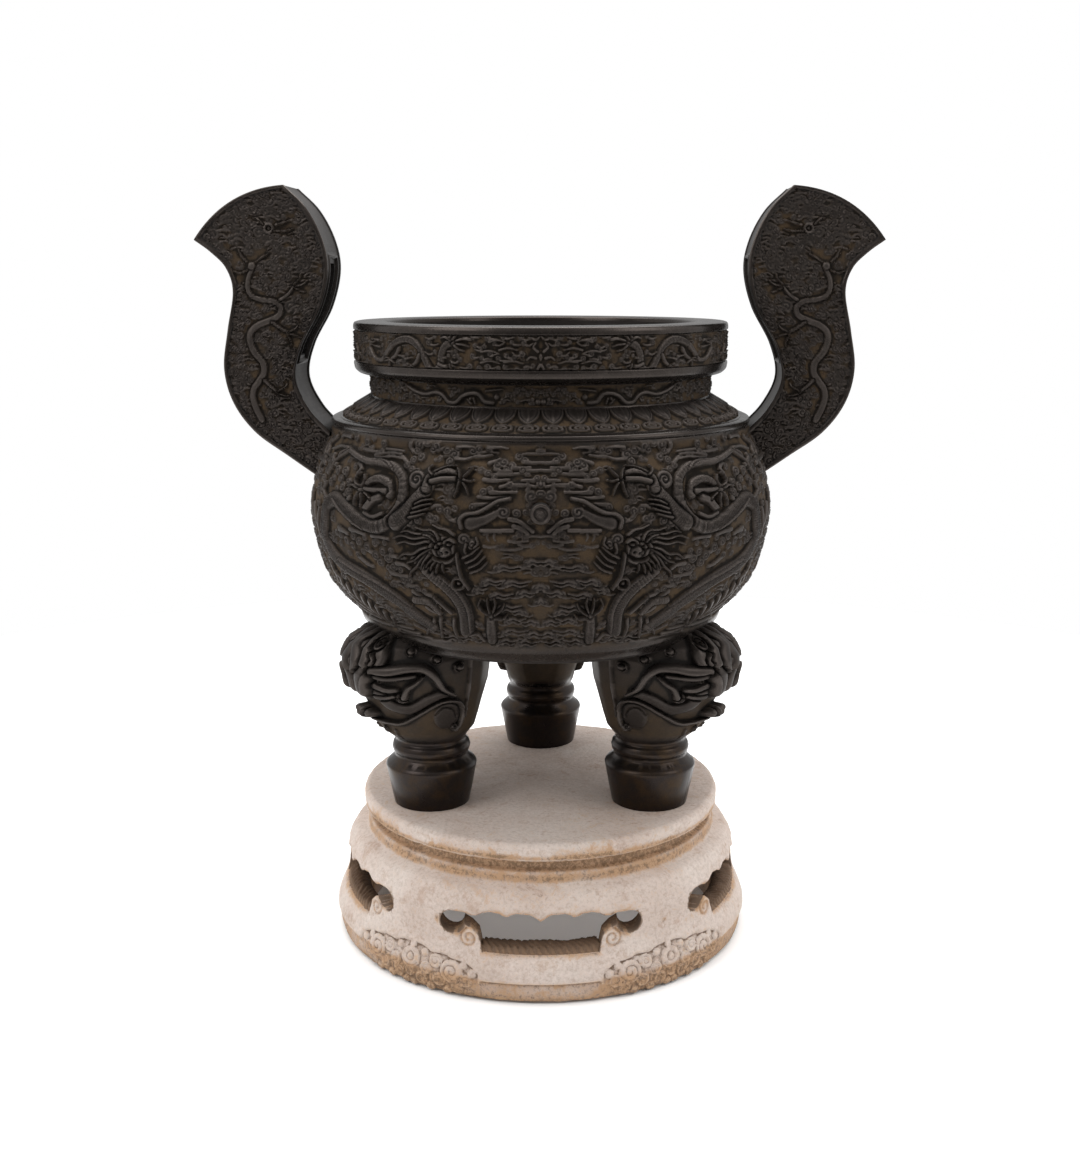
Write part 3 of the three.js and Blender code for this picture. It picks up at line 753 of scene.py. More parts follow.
    ('R', [(-10.9, 792), (-9.8, 798), (-8.4, 792), (-7.2, 798)], 3.4, 1.6, 6.0),
    ('R', [(-11.9, 788), (-13.3, 785), (-14.3, 788)], 2.8, 1.5, 5.0),
    ('C', [(-15.5, 846)], 8.5, 6.8),
    ('C', [(-16.3, 851)], 6, 6.4),
    ('C', [(-15.0, 840)], 5, 6.0),
    ('R', [(-15.8, 849), (-16.4, 854), (-17.7, 847), (-19.3, 850)], 3.4, 1.6, 6.0),
    ('R', [(-16.1, 840), (-16.6, 844), (-18.0, 837), (-18.6, 841)], 3.4, 1.6, 6.0),
    ('R', [(-15.4, 837), (-14.2, 836), (-13.2, 840)], 2.8, 1.5, 5.0),
    ('C', [(-15.1, 816)], 8.5, 6.8),
    ('C', [(-13.8, 824)], 6, 6.4),
    ('C', [(-16.1, 809)], 5, 6.0),
    ('R', [(-14.6, 820), (-13.6, 826), (-12.6, 821), (-10.7, 826)], 3.4, 1.6, 6.0),
    ('R', [(-15.0, 810), (-14.0, 816), (-13.0, 810), (-12.1, 815)], 3.4, 1.6, 6.0),
    ('R', [(-15.9, 806), (-17.3, 802), (-18.3, 805)], 2.8, 1.5, 5.0),
    ('C', [(-18.6, 805)], 8.5, 6.8),
    ('C', [(-19.3, 812)], 6, 6.4),
    ('C', [(-18.1, 799)], 5, 6.0),
    ('R', [(-18.8, 809), (-19.6, 814), (-21.6, 805), (-23.8, 808)], 3.4, 1.6, 6.0),
    ('R', [(-19.4, 798), (-20.2, 803), (-22.2, 795), (-23.2, 798)], 3.4, 1.6, 6.0),
    ('R', [(-18.6, 796), (-17.4, 794), (-16.1, 799)], 2.8, 1.5, 5.0),
    ('C', [(-26.0, 817)], 8.5, 6.8),
    ('C', [(-26.6, 823)], 6, 6.4),
    ('C', [(-25.5, 811)], 5, 6.0),
    ('R', [(-26.1, 821), (-26.6, 826), (-28.6, 817), (-30.5, 819)], 3.4, 1.6, 6.0),
    ('R', [(-26.9, 810), (-27.4, 815), (-29.5, 806), (-30.1, 810)], 3.4, 1.6, 6.0),
    ('R', [(-26.1, 808), (-24.9, 807), (-23.4, 812)], 2.8, 1.5, 5.0),
    ('C', [(-23.8, 800)], 8.5, 6.8),
    ('C', [(-24.5, 806)], 6, 6.4),
    ('C', [(-23.3, 794)], 5, 6.0),
    ('R', [(-24.0, 804), (-24.8, 808), (-27.0, 800), (-29.5, 801)], 3.4, 1.6, 6.0),
    ('R', [(-24.7, 793), (-25.5, 797), (-27.9, 788), (-29.0, 792)], 3.4, 1.6, 6.0),
    ('R', [(-23.9, 790), (-22.6, 789), (-21.1, 795)], 2.8, 1.5, 5.0),
    ('C', [(-14.8, 925)], 8.5, 6.8),
    ('C', [(-13.9, 931)], 6, 6.4),
    ('C', [(-15.5, 919)], 5, 6.0),
    ('R', [(-14.4, 928), (-13.9, 932), (-13.2, 928), (-11.9, 932)], 3.4, 1.6, 6.0),
    ('R', [(-14.5, 920), (-14.0, 924), (-13.2, 920), (-12.9, 924)], 3.4, 1.6, 6.0),
    ('R', [(-15.2, 917), (-16.3, 915), (-17.2, 917)], 2.8, 1.5, 5.0),
    ('R', [(-11.5, 1045), (-11.6, 1039), (-11.2, 1032)], 2.6, 1.6, 3.6),
    ('R', [(-10.0, 1046), (-10.1, 1039), (-9.8, 1033)], 2.6, 1.6, 3.6),
    ('R', [(-12.3, 1045), (-10.6, 1050), (-8.5, 1049)], 3.0, 1.8, 3.6),
    ('C', [(-4.6, 1046)], 8.2, 5.5),
    ('C', [(-3.3, 1038)], 6.6, 5.5),
    ('C', [(-5.6, 1040)], 6.0, 5.5),
    ('R', [(-3.3, 1043), (-1.4, 1044), (0.5, 1041)], 4, 2.5, 4.5),
    ('C', [(-9.3, 1018)], 7.1, 5),
    ('C', [(-8.2, 1022)], 5.5, 5),
    ('R', [(-8.4, 1017), (-6.2, 1015), (-4.0, 1019)], 4, 2.5, 4),
    ('R', [(-12.3, 1021), (-11.0, 1019), (-9.6, 1021)], 3.5, 2.5, 4),
    ('C', [(-1.7, 1025)], 7.1, 5),
    ('C', [(-0.6, 1031)], 5.5, 5),
    ('R', [(-4.6, 1027), (-3.4, 1023), (-2.1, 1024)], 4, 3, 4),
    ('R', [(-6.9, 1033), (-5.2, 1031), (-2.8, 1034)], 3.4, 2, 4.5),
    ('R', [(-62.9, 927), (-61.9, 911), (-59.0, 902)], 5.5, 3, 7),
    ('R', [(-61.4, 910), (-61.3, 892), (-58.5, 883)], 5.5, 3, 7),
    ('R', [(-59.4, 900), (-59.3, 881), (-56.7, 871)], 5.5, 3, 7),
    ('R', [(-56.6, 891), (-56.6, 873), (-55.2, 861)], 5.5, 3, 7),
    ('R', [(-53.7, 883), (-54.2, 864), (-53.1, 850)], 5.5, 3, 7),
    ('R', [(-51.1, 875), (-52.3, 853), (-51.2, 840)], 5.5, 3, 7),
    ('R', [(-49.1, 864), (-50.5, 843), (-49.7, 828)], 5.5, 3, 7),
    ('R', [(-47.2, 854), (-48.4, 832), (-48.4, 816)], 5.5, 3, 7),
    ('R', [(-45.2, 843), (-46.9, 820), (-46.9, 804)], 5.5, 3, 7),
    ('R', [(-43.1, 834), (-45.2, 810), (-45.1, 793)], 5.5, 3, 7),
    ('R', [(-59.3, 868), (-56.9, 845), (-52.6, 830)], 5, 4, 5.5),
    ('R', [(-59.7, 840), (-56.5, 823), (-51.2, 816)], 5, 4, 5.5),
    ('R', [(-62.5, 799), (-54.2, 798), (-46.5, 801)], 5, 4, 5.5),
    ('R', [(-49.1, 816), (-44.2, 808), (-38.9, 807)], 5, 4, 5.5),
    ('R', [(-46.3, 787), (-39.2, 787), (-32.8, 789)], 5, 4, 5.5),
    ('R', [(-47.3, 804), (-42.5, 796), (-37.0, 797)], 5, 4, 5.5),
    ('R', [(-36.1, 823), (-32.6, 811), (-28.5, 806)], 5, 4, 5.5),
    ('R', [(-37.9, 789), (-33.3, 784), (-26.4, 788)], 5, 4, 5.5),
    ('R', [(-29.2, 843), (-31.4, 822), (-33.8, 803)], 4, 3, 8),
    ('R', [(-25.4, 855), (-27.0, 828), (-28.8, 798)], 4, 3, 8),
    ('R', [(-21.7, 855), (-23.0, 828), (-23.5, 804)], 4, 3, 8),
    ('R', [(-27.7, 848), (-29.3, 826), (-30.7, 814)], 4, 3, 8),
    ('S', [(-57.6, 1187), (-51.3, 1175), (-46.1, 1168), (-41.0, 1168), (-36.6, 1164), (-33.4, 1147), (-32.5, 1122), (-32.9, 1092), (-35.3, 1060), (-38.9, 1042), (-43.5, 1044), (-48.2, 1056), (-53.5, 1074), (-56.8, 1080), (-60.2, 1064), (-61.1, 1031), (-62.1, 992), (-59.3, 962), (-54.5, 941), (-46.7, 925), (-40.6, 905), (-35.4, 880), (-32.1, 850), (-29.6, 830)], 6, 17, 10.8),
    ('X', [(-47.7, 1175), (-43.9, 1174), (-40.4, 1174), (-37.6, 1165), (-35.5, 1145), (-34.7, 1121), (-35.1, 1095), (-37.1, 1072), (-39.5, 1060)], 3, 3, 2.6),
    ('X', [(-56.7, 1080), (-52.4, 1061), (-48.1, 1045), (-43.8, 1031)], 3, 3, 2.6),
    ('X', [(-55.5, 953), (-48.4, 938), (-41.8, 922), (-36.3, 901), (-31.9, 875), (-27.7, 852)], 3, 3, 2.4),
    ('G', [(-60.7, 918), (-51.0, 909), (-43.3, 889), (-37.7, 858), (-33.6, 830)], 1.5, 2),
    ('T', [(-56.6, 1185), (-59.2, 1173), (-60.6, 1152), (-62.9, 1128)], 4, 3, 9),
    ('T', [(-57.6, 1187), (-62.0, 1186), (-65.8, 1176)], 4, 2, 9),
    ('T', [(-55.6, 1182), (-59.5, 1163), (-61.5, 1145)], 3, 2, 9),
    ('T', [(-62.7, 1110), (-63.5, 1091), (-60.9, 1078)], 4, 3, 9),
    ('S', [(-36.1, 1111), (-37.0, 1131), (-40.0, 1138), (-42.6, 1132), (-44.0, 1119)], 11, 7, 11),
    ('T', [(-37.2, 1116), (-40.5, 1114), (-44.3, 1114)], 7, 5.5, 11.2),
    ('T', [(-39.2, 1102), (-41.6, 1092), (-43.4, 1075)], 9, 9, 10.5),
    ('D', [(-45.4, 1111)], 8.5, 11.7),
    ('T', [(-46.4, 1116), (-47.8, 1126), (-47.6, 1139), (-46.5, 1145)], 3, 1.3, 11.6),
    ('T', [(-45.3, 1119), (-44.4, 1131), (-45.1, 1142)], 3, 1.3, 11.4),
    ('T', [(-46.7, 1113), (-49.1, 1118), (-50.6, 1113)], 3, 1.3, 11.6),
    ('T', [(-46.2, 1104), (-47.1, 1091), (-47.2, 1077)], 3, 1.3, 11.6),
    ('T', [(-45.0, 1103), (-44.6, 1089), (-44.9, 1076)], 3, 1.3, 11.6),
    ('T', [(-43.8, 1106), (-42.4, 1100), (-41.7, 1094)], 3, 1.3, 11),
    ('T', [(-43.7, 1066), (-40.9, 1060), (-38.1, 1069)], 5, 5, 8.5),
    ('F', [(-29.3, 1144)], 19, 8.5),
    ('C2', [(-29.3, 1144)], 13, 9),
    ('S', [(-33.7, 1057), (-31.2, 1077), (-29.0, 1100), (-26.8, 1123), (-25.3, 1146)], 19, 13, 10.6),
    ('T', [(-28.7, 1095), (-26.9, 1104), (-24.7, 1108)], 4, 1.8, 10.5),
    ('T', [(-29.1, 1086), (-27.1, 1094), (-24.9, 1099)], 4, 1.8, 10.5),
    ('T', [(-29.5, 1077), (-27.4, 1083), (-25.3, 1090)], 4, 1.8, 10),
    ('T', [(-30.2, 1068), (-28.2, 1073), (-26.3, 1079)], 3.6, 1.8, 9.5),
    ('S', [(-26.4, 1128), (-26.0, 1146), (-24.7, 1157), (-22.2, 1163), (-19.6, 1160)], 11, 6, 11.2),
    ('T', [(-25.3, 1142), (-22.6, 1148), (-18.9, 1150)], 6, 5, 11),
    ('D', [(-18.0, 1149)], 8.5, 11.6),
    ('T', [(-24.8, 1161), (-22.4, 1170), (-19.8, 1174)], 3.2, 1.6, 9.5),
    ('T', [(-25.3, 1154), (-26.5, 1163), (-25.9, 1173)], 3, 1.6, 9.5),
    ('T', [(-18.3, 1152), (-18.7, 1162), (-19.4, 1170)], 2.9, 1.3, 11.6),
    ('T', [(-17.5, 1152), (-16.5, 1161), (-15.7, 1171)], 3.0, 1.3, 11.6),
    ('T', [(-18.3, 1143), (-18.7, 1129), (-19.4, 1115)], 2.9, 1.3, 11.6),
    ('T', [(-17.5, 1143), (-16.6, 1132), (-16.1, 1120)], 2.9, 1.3, 11.6),
    ('T', [(-17.4, 1148), (-16.1, 1146), (-14.9, 1149)], 2.9, 1.3, 11.4),
    ('T', [(-17.4, 1056), (-17.8, 1071), (-16.6, 1082), (-13.9, 1087), (-11.6, 1098), (-9.5, 1110), (-6.8, 1116)], 4.5, 4, 9.5),
    ('F', [(-15.4, 1066)], 14, 6.5),
    ('T', [(-15.4, 1065), (-12.4, 1073), (-9.4, 1088)], 13, 7, 6.8),
    ('R', [(-12.9, 1052), (-9.3, 1053), (-6.1, 1054)], 4, 4, 7),
    ('C', [(-8.1, 1089)], 13, 8),
    ('C', [(-5.3, 1087)], 9, 7),
    ('R', [(-6.7, 1076), (-4.6, 1071), (-2.8, 1060), (-1.7, 1052)], 5, 4, 7),
    ('R', [(-5.8, 1062), (-4.0, 1057), (-2.8, 1048)], 5, 4, 7),
    ('S', [(-28.9, 986), (-26.8, 967), (-24.1, 948), (-21.0, 928), (-18.8, 903), (-18.0, 872), (-19.6, 824)], 9, 16, 11.6),
    ('X', [(-26.8, 977), (-23.6, 958), (-20.5, 938), (-18.1, 913), (-16.9, 879), (-18.1, 829)], 3, 3, 2.2),
    ('S', [(-24.9, 869), (-27.1, 890), (-30.9, 892)], 6, 8, 9.5),
    ('T', [(-21.7, 874), (-23.1, 887), (-25.2, 904)], 5, 3, 9.5),
    ('T', [(-23.5, 1021), (-25.6, 1024), (-28.4, 1017), (-31.2, 1019), (-33.6, 1012)], 4.2, 1.5, 10),
    ('T', [(-23.0, 1027), (-25.6, 1033), (-28.7, 1027), (-31.7, 1031), (-34.4, 1023)], 4, 1.5, 9.5),
    ('T', [(-22.5, 1032), (-25.0, 1040), (-27.7, 1037), (-30.5, 1041), (-32.2, 1037)], 4, 1.5, 9.5),
    ('T', [(-21.8, 1036), (-24.0, 1046), (-26.4, 1046), (-28.4, 1050)], 3.8, 1.5, 9),
    ('T', [(-24.2, 1014), (-26.8, 1009), (-29.1, 996), (-31.7, 993), (-33.6, 981)], 4.4, 1.5, 10),
    ('T', [(-24.6, 1007), (-26.9, 997), (-29.1, 982), (-31.2, 974)], 4.2, 1.5, 9.5),
    ('T', [(-24.8, 1001), (-26.9, 987), (-28.5, 970), (-30.4, 955), (-30.9, 945)], 4, 1.5, 9.5),
    ('T', [(-25.2, 996), (-26.8, 979), (-27.6, 963)], 3.4, 1.5, 9),
    ('T', [(-19.1, 1041), (-20.7, 1050), (-22.5, 1052), (-24.1, 1058)], 3.6, 1.5, 8.5),
    ('G', [(-24.3, 1017), (-26.8, 1014), (-29.9, 1006), (-32.8, 1001)], 1.1, 2.2),
    ('G', [(-24.3, 1023), (-27.1, 1025), (-30.1, 1024), (-32.9, 1020)], 1.1, 2.2),
    ('G', [(-24.6, 1010), (-27.3, 1002), (-29.7, 988), (-32.2, 983)], 1.1, 2.2),
    ('G', [(-22.9, 1031), (-25.5, 1038), (-28.0, 1035), (-30.6, 1036)], 1.1, 2.2),
    ('F', [(-21.6, 1012)], 25, 10.2),
    ('D', [(-21.3, 1006)], 15, 11.9),
    ('T', [(-24.4, 1016), (-23.2, 1025), (-21.9, 1022)], 4, 3, 11.8),
    ('T', [(-21.0, 1025), (-19.7, 1032), (-18.7, 1027)], 4, 3, 11.8),
    ('D', [(-23.0, 1016)], 5.2, 11.9),
    ('D', [(-20.0, 1022)], 5.2, 11.9),
    ('G', [(-23.6, 1012), (-22.9, 1010), (-22.2, 1014)], 1.4, 4),
    ('G', [(-20.5, 1019), (-19.9, 1018), (-19.3, 1022)], 1.4, 4),
    ('G', [(-21.7, 1005), (-21.6, 1004)], 2.4, 6),
    ('G', [(-20.6, 1007), (-20.5, 1006)], 2.4, 6),
    ('G', [(-22.4, 1010), (-22.1, 1002), (-22.4, 999)], 1.4, 3.5),
    ('G', [(-24.2, 995), (-23.0, 991), (-21.3, 991), (-19.0, 1000)], 2.4, 8),
    ('T', [(-24.1, 989), (-22.6, 983), (-20.5, 985), (-18.9, 994)], 4.6, 3.4, 10.5),
    ('G', [(-22.9, 995), (-22.9, 989)], 1.0, 3),
    ('G', [(-20.2, 997), (-20.1, 992)], 1.0, 3),
    ('T', [(-23.2, 1026), (-24.5, 1035), (-26.3, 1037)], 3, 1.5, 11),
    ('T', [(-22.4, 1030), (-23.1, 1042), (-24.5, 1048)], 3, 1.5, 11),
    ('T', [(-23.9, 982), (-24.8, 972), (-25.2, 961)], 2.8, 1.2, 9.5),
    ('T', [(-23.0, 979), (-23.6, 968), (-23.7, 958)], 2.8, 1.2, 9.5),
    ('T', [(-21.9, 979), (-22.1, 969), (-21.8, 962)], 2.8, 1.2, 9.5),
    ('T', [(-24.6, 986), (-25.7, 977), (-26.2, 968)], 2.8, 1.2, 9.5),
    ('C', [(-16.7, 1033)], 12, 9),
    ('C', [(-14.8, 1024)], 11, 9),
    ('T', [(-16.2, 1024), (-16.6, 1009), (-15.6, 999)], 3, 1.6, 9),
    ('T', [(-14.4, 1017), (-13.6, 1026), (-14.0, 1038)], 3, 1.6, 9),
    ('T', [(-16.5, 985), (-14.4, 995), (-12.7, 1013)], 2.8, 1.4, 8.5),
    ('T', [(-15.9, 975), (-13.8, 985), (-12.1, 1001)], 2.8, 1.4, 8.5),
    ('T', [(-15.6, 964), (-13.4, 973), (-11.6, 989)], 2.8, 1.4, 8.5),
    ('T', [(-17.2, 995), (-15.1, 1005), (-13.4, 1019)], 2.8, 1.4, 8.5),
    ('T', [(-18.3, 1003), (-18.2, 983), (-17.7, 956), (-16.1, 931)], 3.4, 2.6, 11.8),
    ('K', [(-18.6, 940)], 12, 10.5),
    ('S', [(-12.1, 862), (-12.6, 840), (-13.5, 803)], 9, 11, 10.5),
    ('D', [(-11.6, 875)], 8.5, 11.4),
    ('T', [(-12.3, 878), (-13.6, 886), (-14.3, 897), (-13.7, 908)], 2.9, 1.3, 11.5),
    ('T', [(-11.8, 882), (-12.1, 897), (-12.2, 910)], 2.9, 1.3, 11.5),
    ('T', [(-11.0, 884), (-10.4, 899), (-10.6, 912)], 2.9, 1.3, 11.5),
    ('T', [(-10.7, 878), (-9.1, 888), (-8.3, 899)], 2.9, 1.3, 11.5),
    ('T', [(-10.7, 870), (-9.2, 868), (-8.1, 873)], 2.9, 1.3, 11.5),
    ('T', [(-15.6, 803), (-17.0, 821), (-19.3, 816)], 5, 4, 9),
]
RIM_ART = [
    ('S', [(-58.7, 1398), (-55.9, 1379), (-51.7, 1377), (-48.8, 1397), (-45.3, 1415), (-40.3, 1422), (-36.5, 1409), (-34.3, 1386), (-31.8, 1362), (-29.0, 1368), (-28.4, 1394), (-27.1, 1411), (-24.8, 1419)], 3.5, 7.5, 4.8),
    ('X', [(-48.8, 1403), (-45.7, 1420), (-40.3, 1428), (-35.5, 1415), (-33.0, 1390), (-30.8, 1370)], 2.2, 2, 1.2),
    ('D', [(-24.3, 1419)], 8.5, 4.8),
    ('T', [(-25.4, 1422), (-27.1, 1428), (-28.6, 1426)], 3, 1.8, 4.8),
    ('G', [(-24.8, 1421), (-24.7, 1420)], 1.6, 3),
    ('T', [(-24.8, 1424), (-23.1, 1434), (-20.9, 1436)], 2.6, 1.2, 4.6),
    ('T', [(-23.7, 1421), (-21.8, 1425), (-19.6, 1423)], 2.6, 1.2, 4.6),
    ('T', [(-23.7, 1415), (-21.8, 1414), (-19.9, 1410)], 2.6, 1.2, 4.6),
    ('T', [(-24.3, 1412), (-22.9, 1404), (-21.3, 1401)], 2.6, 1.2, 4.6),
    ('T', [(-25.7, 1428), (-24.8, 1437), (-23.4, 1441)], 2.6, 1.2, 4.6),
    ('T', [(-43.8, 1402), (-45.4, 1387), (-48.0, 1378)], 4, 3, 4.8),
    ('D', [(-48.0, 1378)], 4.5, 4.8),
    ('T', [(-48.0, 1378), (-50.3, 1383)], 2.2, 1.1, 4.8),
    ('T', [(-48.0, 1378), (-50.8, 1374)], 2.2, 1.1, 4.8),
    ('T', [(-48.0, 1378), (-48.5, 1365)], 2.2, 1.1, 4.8),
    ('T', [(-48.0, 1378), (-45.9, 1371)], 2.2, 1.1, 4.8),
    ('T', [(-35.9, 1391), (-37.3, 1374), (-39.1, 1368)], 4, 3, 4.8),
    ('D', [(-39.1, 1368)], 4.5, 4.8),
    ('T', [(-39.1, 1368), (-40.9, 1373)], 2.2, 1.1, 4.8),
    ('T', [(-39.1, 1368), (-40.9, 1361)], 2.2, 1.1, 4.8),
    ('T', [(-39.1, 1368), (-38.8, 1356)], 2.2, 1.1, 4.8),
    ('T', [(-39.1, 1368), (-37.4, 1361)], 2.2, 1.1, 4.8),
    ('T', [(-29.3, 1374), (-27.2, 1369), (-25.8, 1373)], 4, 3, 4.8),
    ('D', [(-25.8, 1373)], 4.5, 4.8),
    ('T', [(-25.8, 1373), (-24.4, 1379)], 2.2, 1.1, 4.8),
    ('T', [(-25.8, 1373), (-24.1, 1369)], 2.2, 1.1, 4.8),
    ('T', [(-25.8, 1373), (-25.2, 1362)], 2.2, 1.1, 4.8),
    ('D', [(0.9, 1390)], 10, 4.8),
    ('C2', [(0.9, 1390)], 8, 4.6),
    ('T', [(-0.8, 1401), (-2.0, 1410), (-1.3, 1419)], 3, 1.4, 4.2),
    ('T', [(2.6, 1401), (3.9, 1410), (3.4, 1420)], 3, 1.4, 4.2),
    ('T', [(-1.3, 1388), (-2.8, 1390), (-3.8, 1384)], 3, 1.4, 4.2),
    ('T', [(-0.1, 1375), (-0.8, 1366), (-0.1, 1359)], 3, 1.4, 4.2),
    ('T', [(1.9, 1375), (2.9, 1366), (2.2, 1359)], 3, 1.4, 4.2),
    ('C', [(-18.8, 1428)], 5.9, 4.6),
    ('R', [(-19.5, 1424), (-20.4, 1427), (-21.6, 1428)], 2.4, 1.1, 3.9),
    ('C', [(-16.6, 1433)], 5.9, 4.6),
    ('R', [(-17.2, 1429), (-18.2, 1429), (-19.4, 1431)], 2.4, 1.1, 3.9),
    ('C', [(-14.6, 1427)], 7.5, 4.6),
    ('R', [(-14.0, 1424), (-13.1, 1426), (-11.9, 1425)], 2.4, 1.1, 3.9),
    ('C', [(-18.1, 1413)], 5.5, 4.6),
    ('R', [(-17.4, 1410), (-16.5, 1408), (-15.3, 1416)], 2.4, 1.1, 3.9),
    ('C', [(-15.5, 1409)], 5.8, 4.6),
    ('R', [(-16.1, 1405), (-17.1, 1402), (-18.2, 1405)], 2.4, 1.1, 3.9),
    ('C', [(-12.6, 1417)], 5.4, 4.6),
    ('R', [(-12.0, 1413), (-11.1, 1413), (-9.9, 1419)], 2.4, 1.1, 3.9),
    ('C', [(-9.9, 1430)], 7.3, 4.6),
    ('R', [(-9.2, 1426), (-8.4, 1427), (-7.2, 1430)], 2.4, 1.1, 3.9),
    ('C', [(-7.9, 1419)], 4.9, 4.6),
    ('R', [(-7.3, 1415), (-6.4, 1414), (-5.3, 1415)], 2.4, 1.1, 3.9),
    ('C', [(-5.4, 1429)], 6.4, 4.6),
    ('R', [(-4.8, 1425), (-3.9, 1424), (-2.8, 1427)], 2.4, 1.1, 3.9),
    ('C', [(-4.6, 1418)], 5.7, 4.6),
    ('R', [(-3.9, 1414), (-3.1, 1413), (-2.0, 1418)], 2.4, 1.1, 3.9),
    ('C', [(-18.8, 1391)], 6.7, 4.6),
    ('R', [(-18.2, 1387), (-17.2, 1389), (-16.0, 1391)], 2.4, 1.1, 3.9),
    ('C', [(-16.2, 1388)], 5.8, 4.6),
    ('R', [(-15.5, 1384), (-14.6, 1386), (-13.4, 1386)], 2.4, 1.1, 3.9),
    ('C', [(-13.9, 1396)], 6.9, 4.6),
    ('R', [(-13.3, 1392), (-12.4, 1395), (-11.3, 1396)], 2.4, 1.1, 3.9),
    ('C', [(-11.5, 1387)], 6.5, 4.6),
    ('R', [(-10.9, 1383), (-10.0, 1383), (-8.9, 1384)], 2.4, 1.1, 3.9),
    ('C', [(-9.3, 1393)], 6.0, 4.6),
    ('R', [(-8.6, 1389), (-7.8, 1388), (-6.6, 1390)], 2.4, 1.1, 3.9),
    ('C', [(-7.1, 1389)], 5.4, 4.6),
    ('R', [(-7.8, 1385), (-8.6, 1387), (-9.8, 1391)], 2.4, 1.1, 3.9),
    ('C', [(-5.1, 1396)], 6.6, 4.6),
    ('R', [(-5.7, 1393), (-6.6, 1393), (-7.7, 1399)], 2.4, 1.1, 3.9),
    ('C', [(-19.8, 1369)], 6.9, 4.6),
    ('R', [(-20.5, 1365), (-21.5, 1366), (-22.7, 1368)], 2.4, 1.1, 3.9),
    ('C', [(-17.0, 1366)], 6.5, 4.6),
    ('R', [(-16.4, 1363), (-15.5, 1361), (-14.3, 1368)], 2.4, 1.1, 3.9),
    ('C', [(-14.6, 1371)], 7.6, 4.6),
    ('R', [(-13.9, 1367), (-13.0, 1367), (-11.9, 1370)], 2.4, 1.1, 3.9),
    ('C', [(-11.7, 1367)], 5.3, 4.6),
    ('R', [(-11.0, 1363), (-10.1, 1362), (-9.0, 1365)], 2.4, 1.1, 3.9),
    ('C', [(-9.6, 1370)], 6.1, 4.6),
    ('R', [(-8.9, 1366), (-8.1, 1366), (-6.9, 1366)], 2.4, 1.1, 3.9),
    ('C', [(-6.5, 1365)], 6.5, 4.6),
    ('R', [(-7.1, 1362), (-8.0, 1360), (-9.1, 1365)], 2.4, 1.1, 3.9),
    ('C', [(-4.0, 1368)], 5.8, 4.6),
    ('R', [(-4.6, 1364), (-5.5, 1365), (-6.6, 1368)], 2.4, 1.1, 3.9),
    ('C', [(-62.2, 1416)], 7.1, 4.6),
    ('R', [(-60.4, 1413), (-58.2, 1411), (-55.5, 1415)], 2.4, 1.1, 3.9),
    ('C', [(-65.3, 1390)], 7.3, 4.6),
    ('R', [(-67.7, 1385), (-71.8, 1384), (-82.5, 1386)], 2.4, 1.1, 3.9),
    ('C', [(-62.0, 1370)], 7.0, 4.6),
    ('R', [(-64.0, 1366), (-67.1, 1364), (-72.4, 1365)], 2.4, 1.1, 3.9),
    ('C', [(-71.2, 1354)], 5.5, 4.6),
    ('R', [(-80.9, 1345), (-80.8, 1347), (-80.6, 1350)], 2.4, 1.1, 3.9),
    ('C', [(-57.6, 1357)], 5.0, 4.6),
    ('R', [(-56.6, 1353), (-54.4, 1355), (-51.9, 1357)], 2.4, 1.1, 3.9),
    ('C', [(-52.6, 1420)], 5.5, 4.6),
    ('R', [(-53.9, 1416), (-55.7, 1418), (-58.4, 1418)], 2.4, 1.1, 3.9),
    ('C', [(-52.1, 1407)], 4.5, 4.6),
    ('R', [(-53.4, 1403), (-55.3, 1404), (-57.9, 1406)], 2.4, 1.1, 3.9),
    ('C', [(-42.2, 1384)], 5.3, 4.6),
    ('R', [(-41.3, 1381), (-40.0, 1383), (-38.4, 1385)], 2.4, 1.1, 3.9),
    ('C', [(-40.7, 1390)], 5.0, 4.6),
    ('R', [(-41.7, 1386), (-43.0, 1387), (-44.8, 1388)], 2.4, 1.1, 3.9),
    ('C', [(-32.5, 1416)], 6.6, 4.6),
    ('R', [(-31.7, 1412), (-30.6, 1411), (-29.3, 1414)], 2.4, 1.1, 3.9),
    ('C', [(-30.6, 1429)], 5.5, 4.6),
    ('R', [(-31.4, 1425), (-32.5, 1424), (-33.9, 1427)], 2.4, 1.1, 3.9),
    ('C', [(-30.6, 1397)], 5.4, 4.6),
    ('R', [(-31.4, 1394), (-32.5, 1392), (-33.9, 1397)], 2.4, 1.1, 3.9),
    ('C', [(-34.4, 1360)], 4.2, 4.6),
    ('R', [(-33.6, 1357), (-32.4, 1359), (-31.0, 1360)], 2.4, 1.1, 3.9),
    ('C', [(-22.6, 1383)], 5.3, 4.6),
    ('R', [(-23.3, 1379), (-24.3, 1376), (-25.6, 1381)], 2.4, 1.1, 3.9),
    ('C', [(-23.1, 1362)], 5.4, 4.6),
    ('R', [(-23.8, 1358), (-24.8, 1360), (-26.0, 1360)], 2.4, 1.1, 3.9),
    ('C', [(-26.3, 1391)], 4.6, 4.6),
    ('R', [(-27.1, 1387), (-28.1, 1386), (-29.4, 1391)], 2.4, 1.1, 3.9),
    ('C', [(-2.6, 1430)], 5.5, 4.6),
    ('R', [(-2.0, 1426), (-1.1, 1425), (-0.0, 1432)], 2.4, 1.1, 3.9),
    ('C', [(-2.0, 1373)], 4.8, 4.6),
    ('R', [(-2.6, 1369), (-3.5, 1372), (-4.6, 1370)], 2.4, 1.1, 3.9),
    ('R', [(-17.7, 1434), (-15.6, 1440), (-13.6, 1434)], 2.4, 1.3, 4.2),
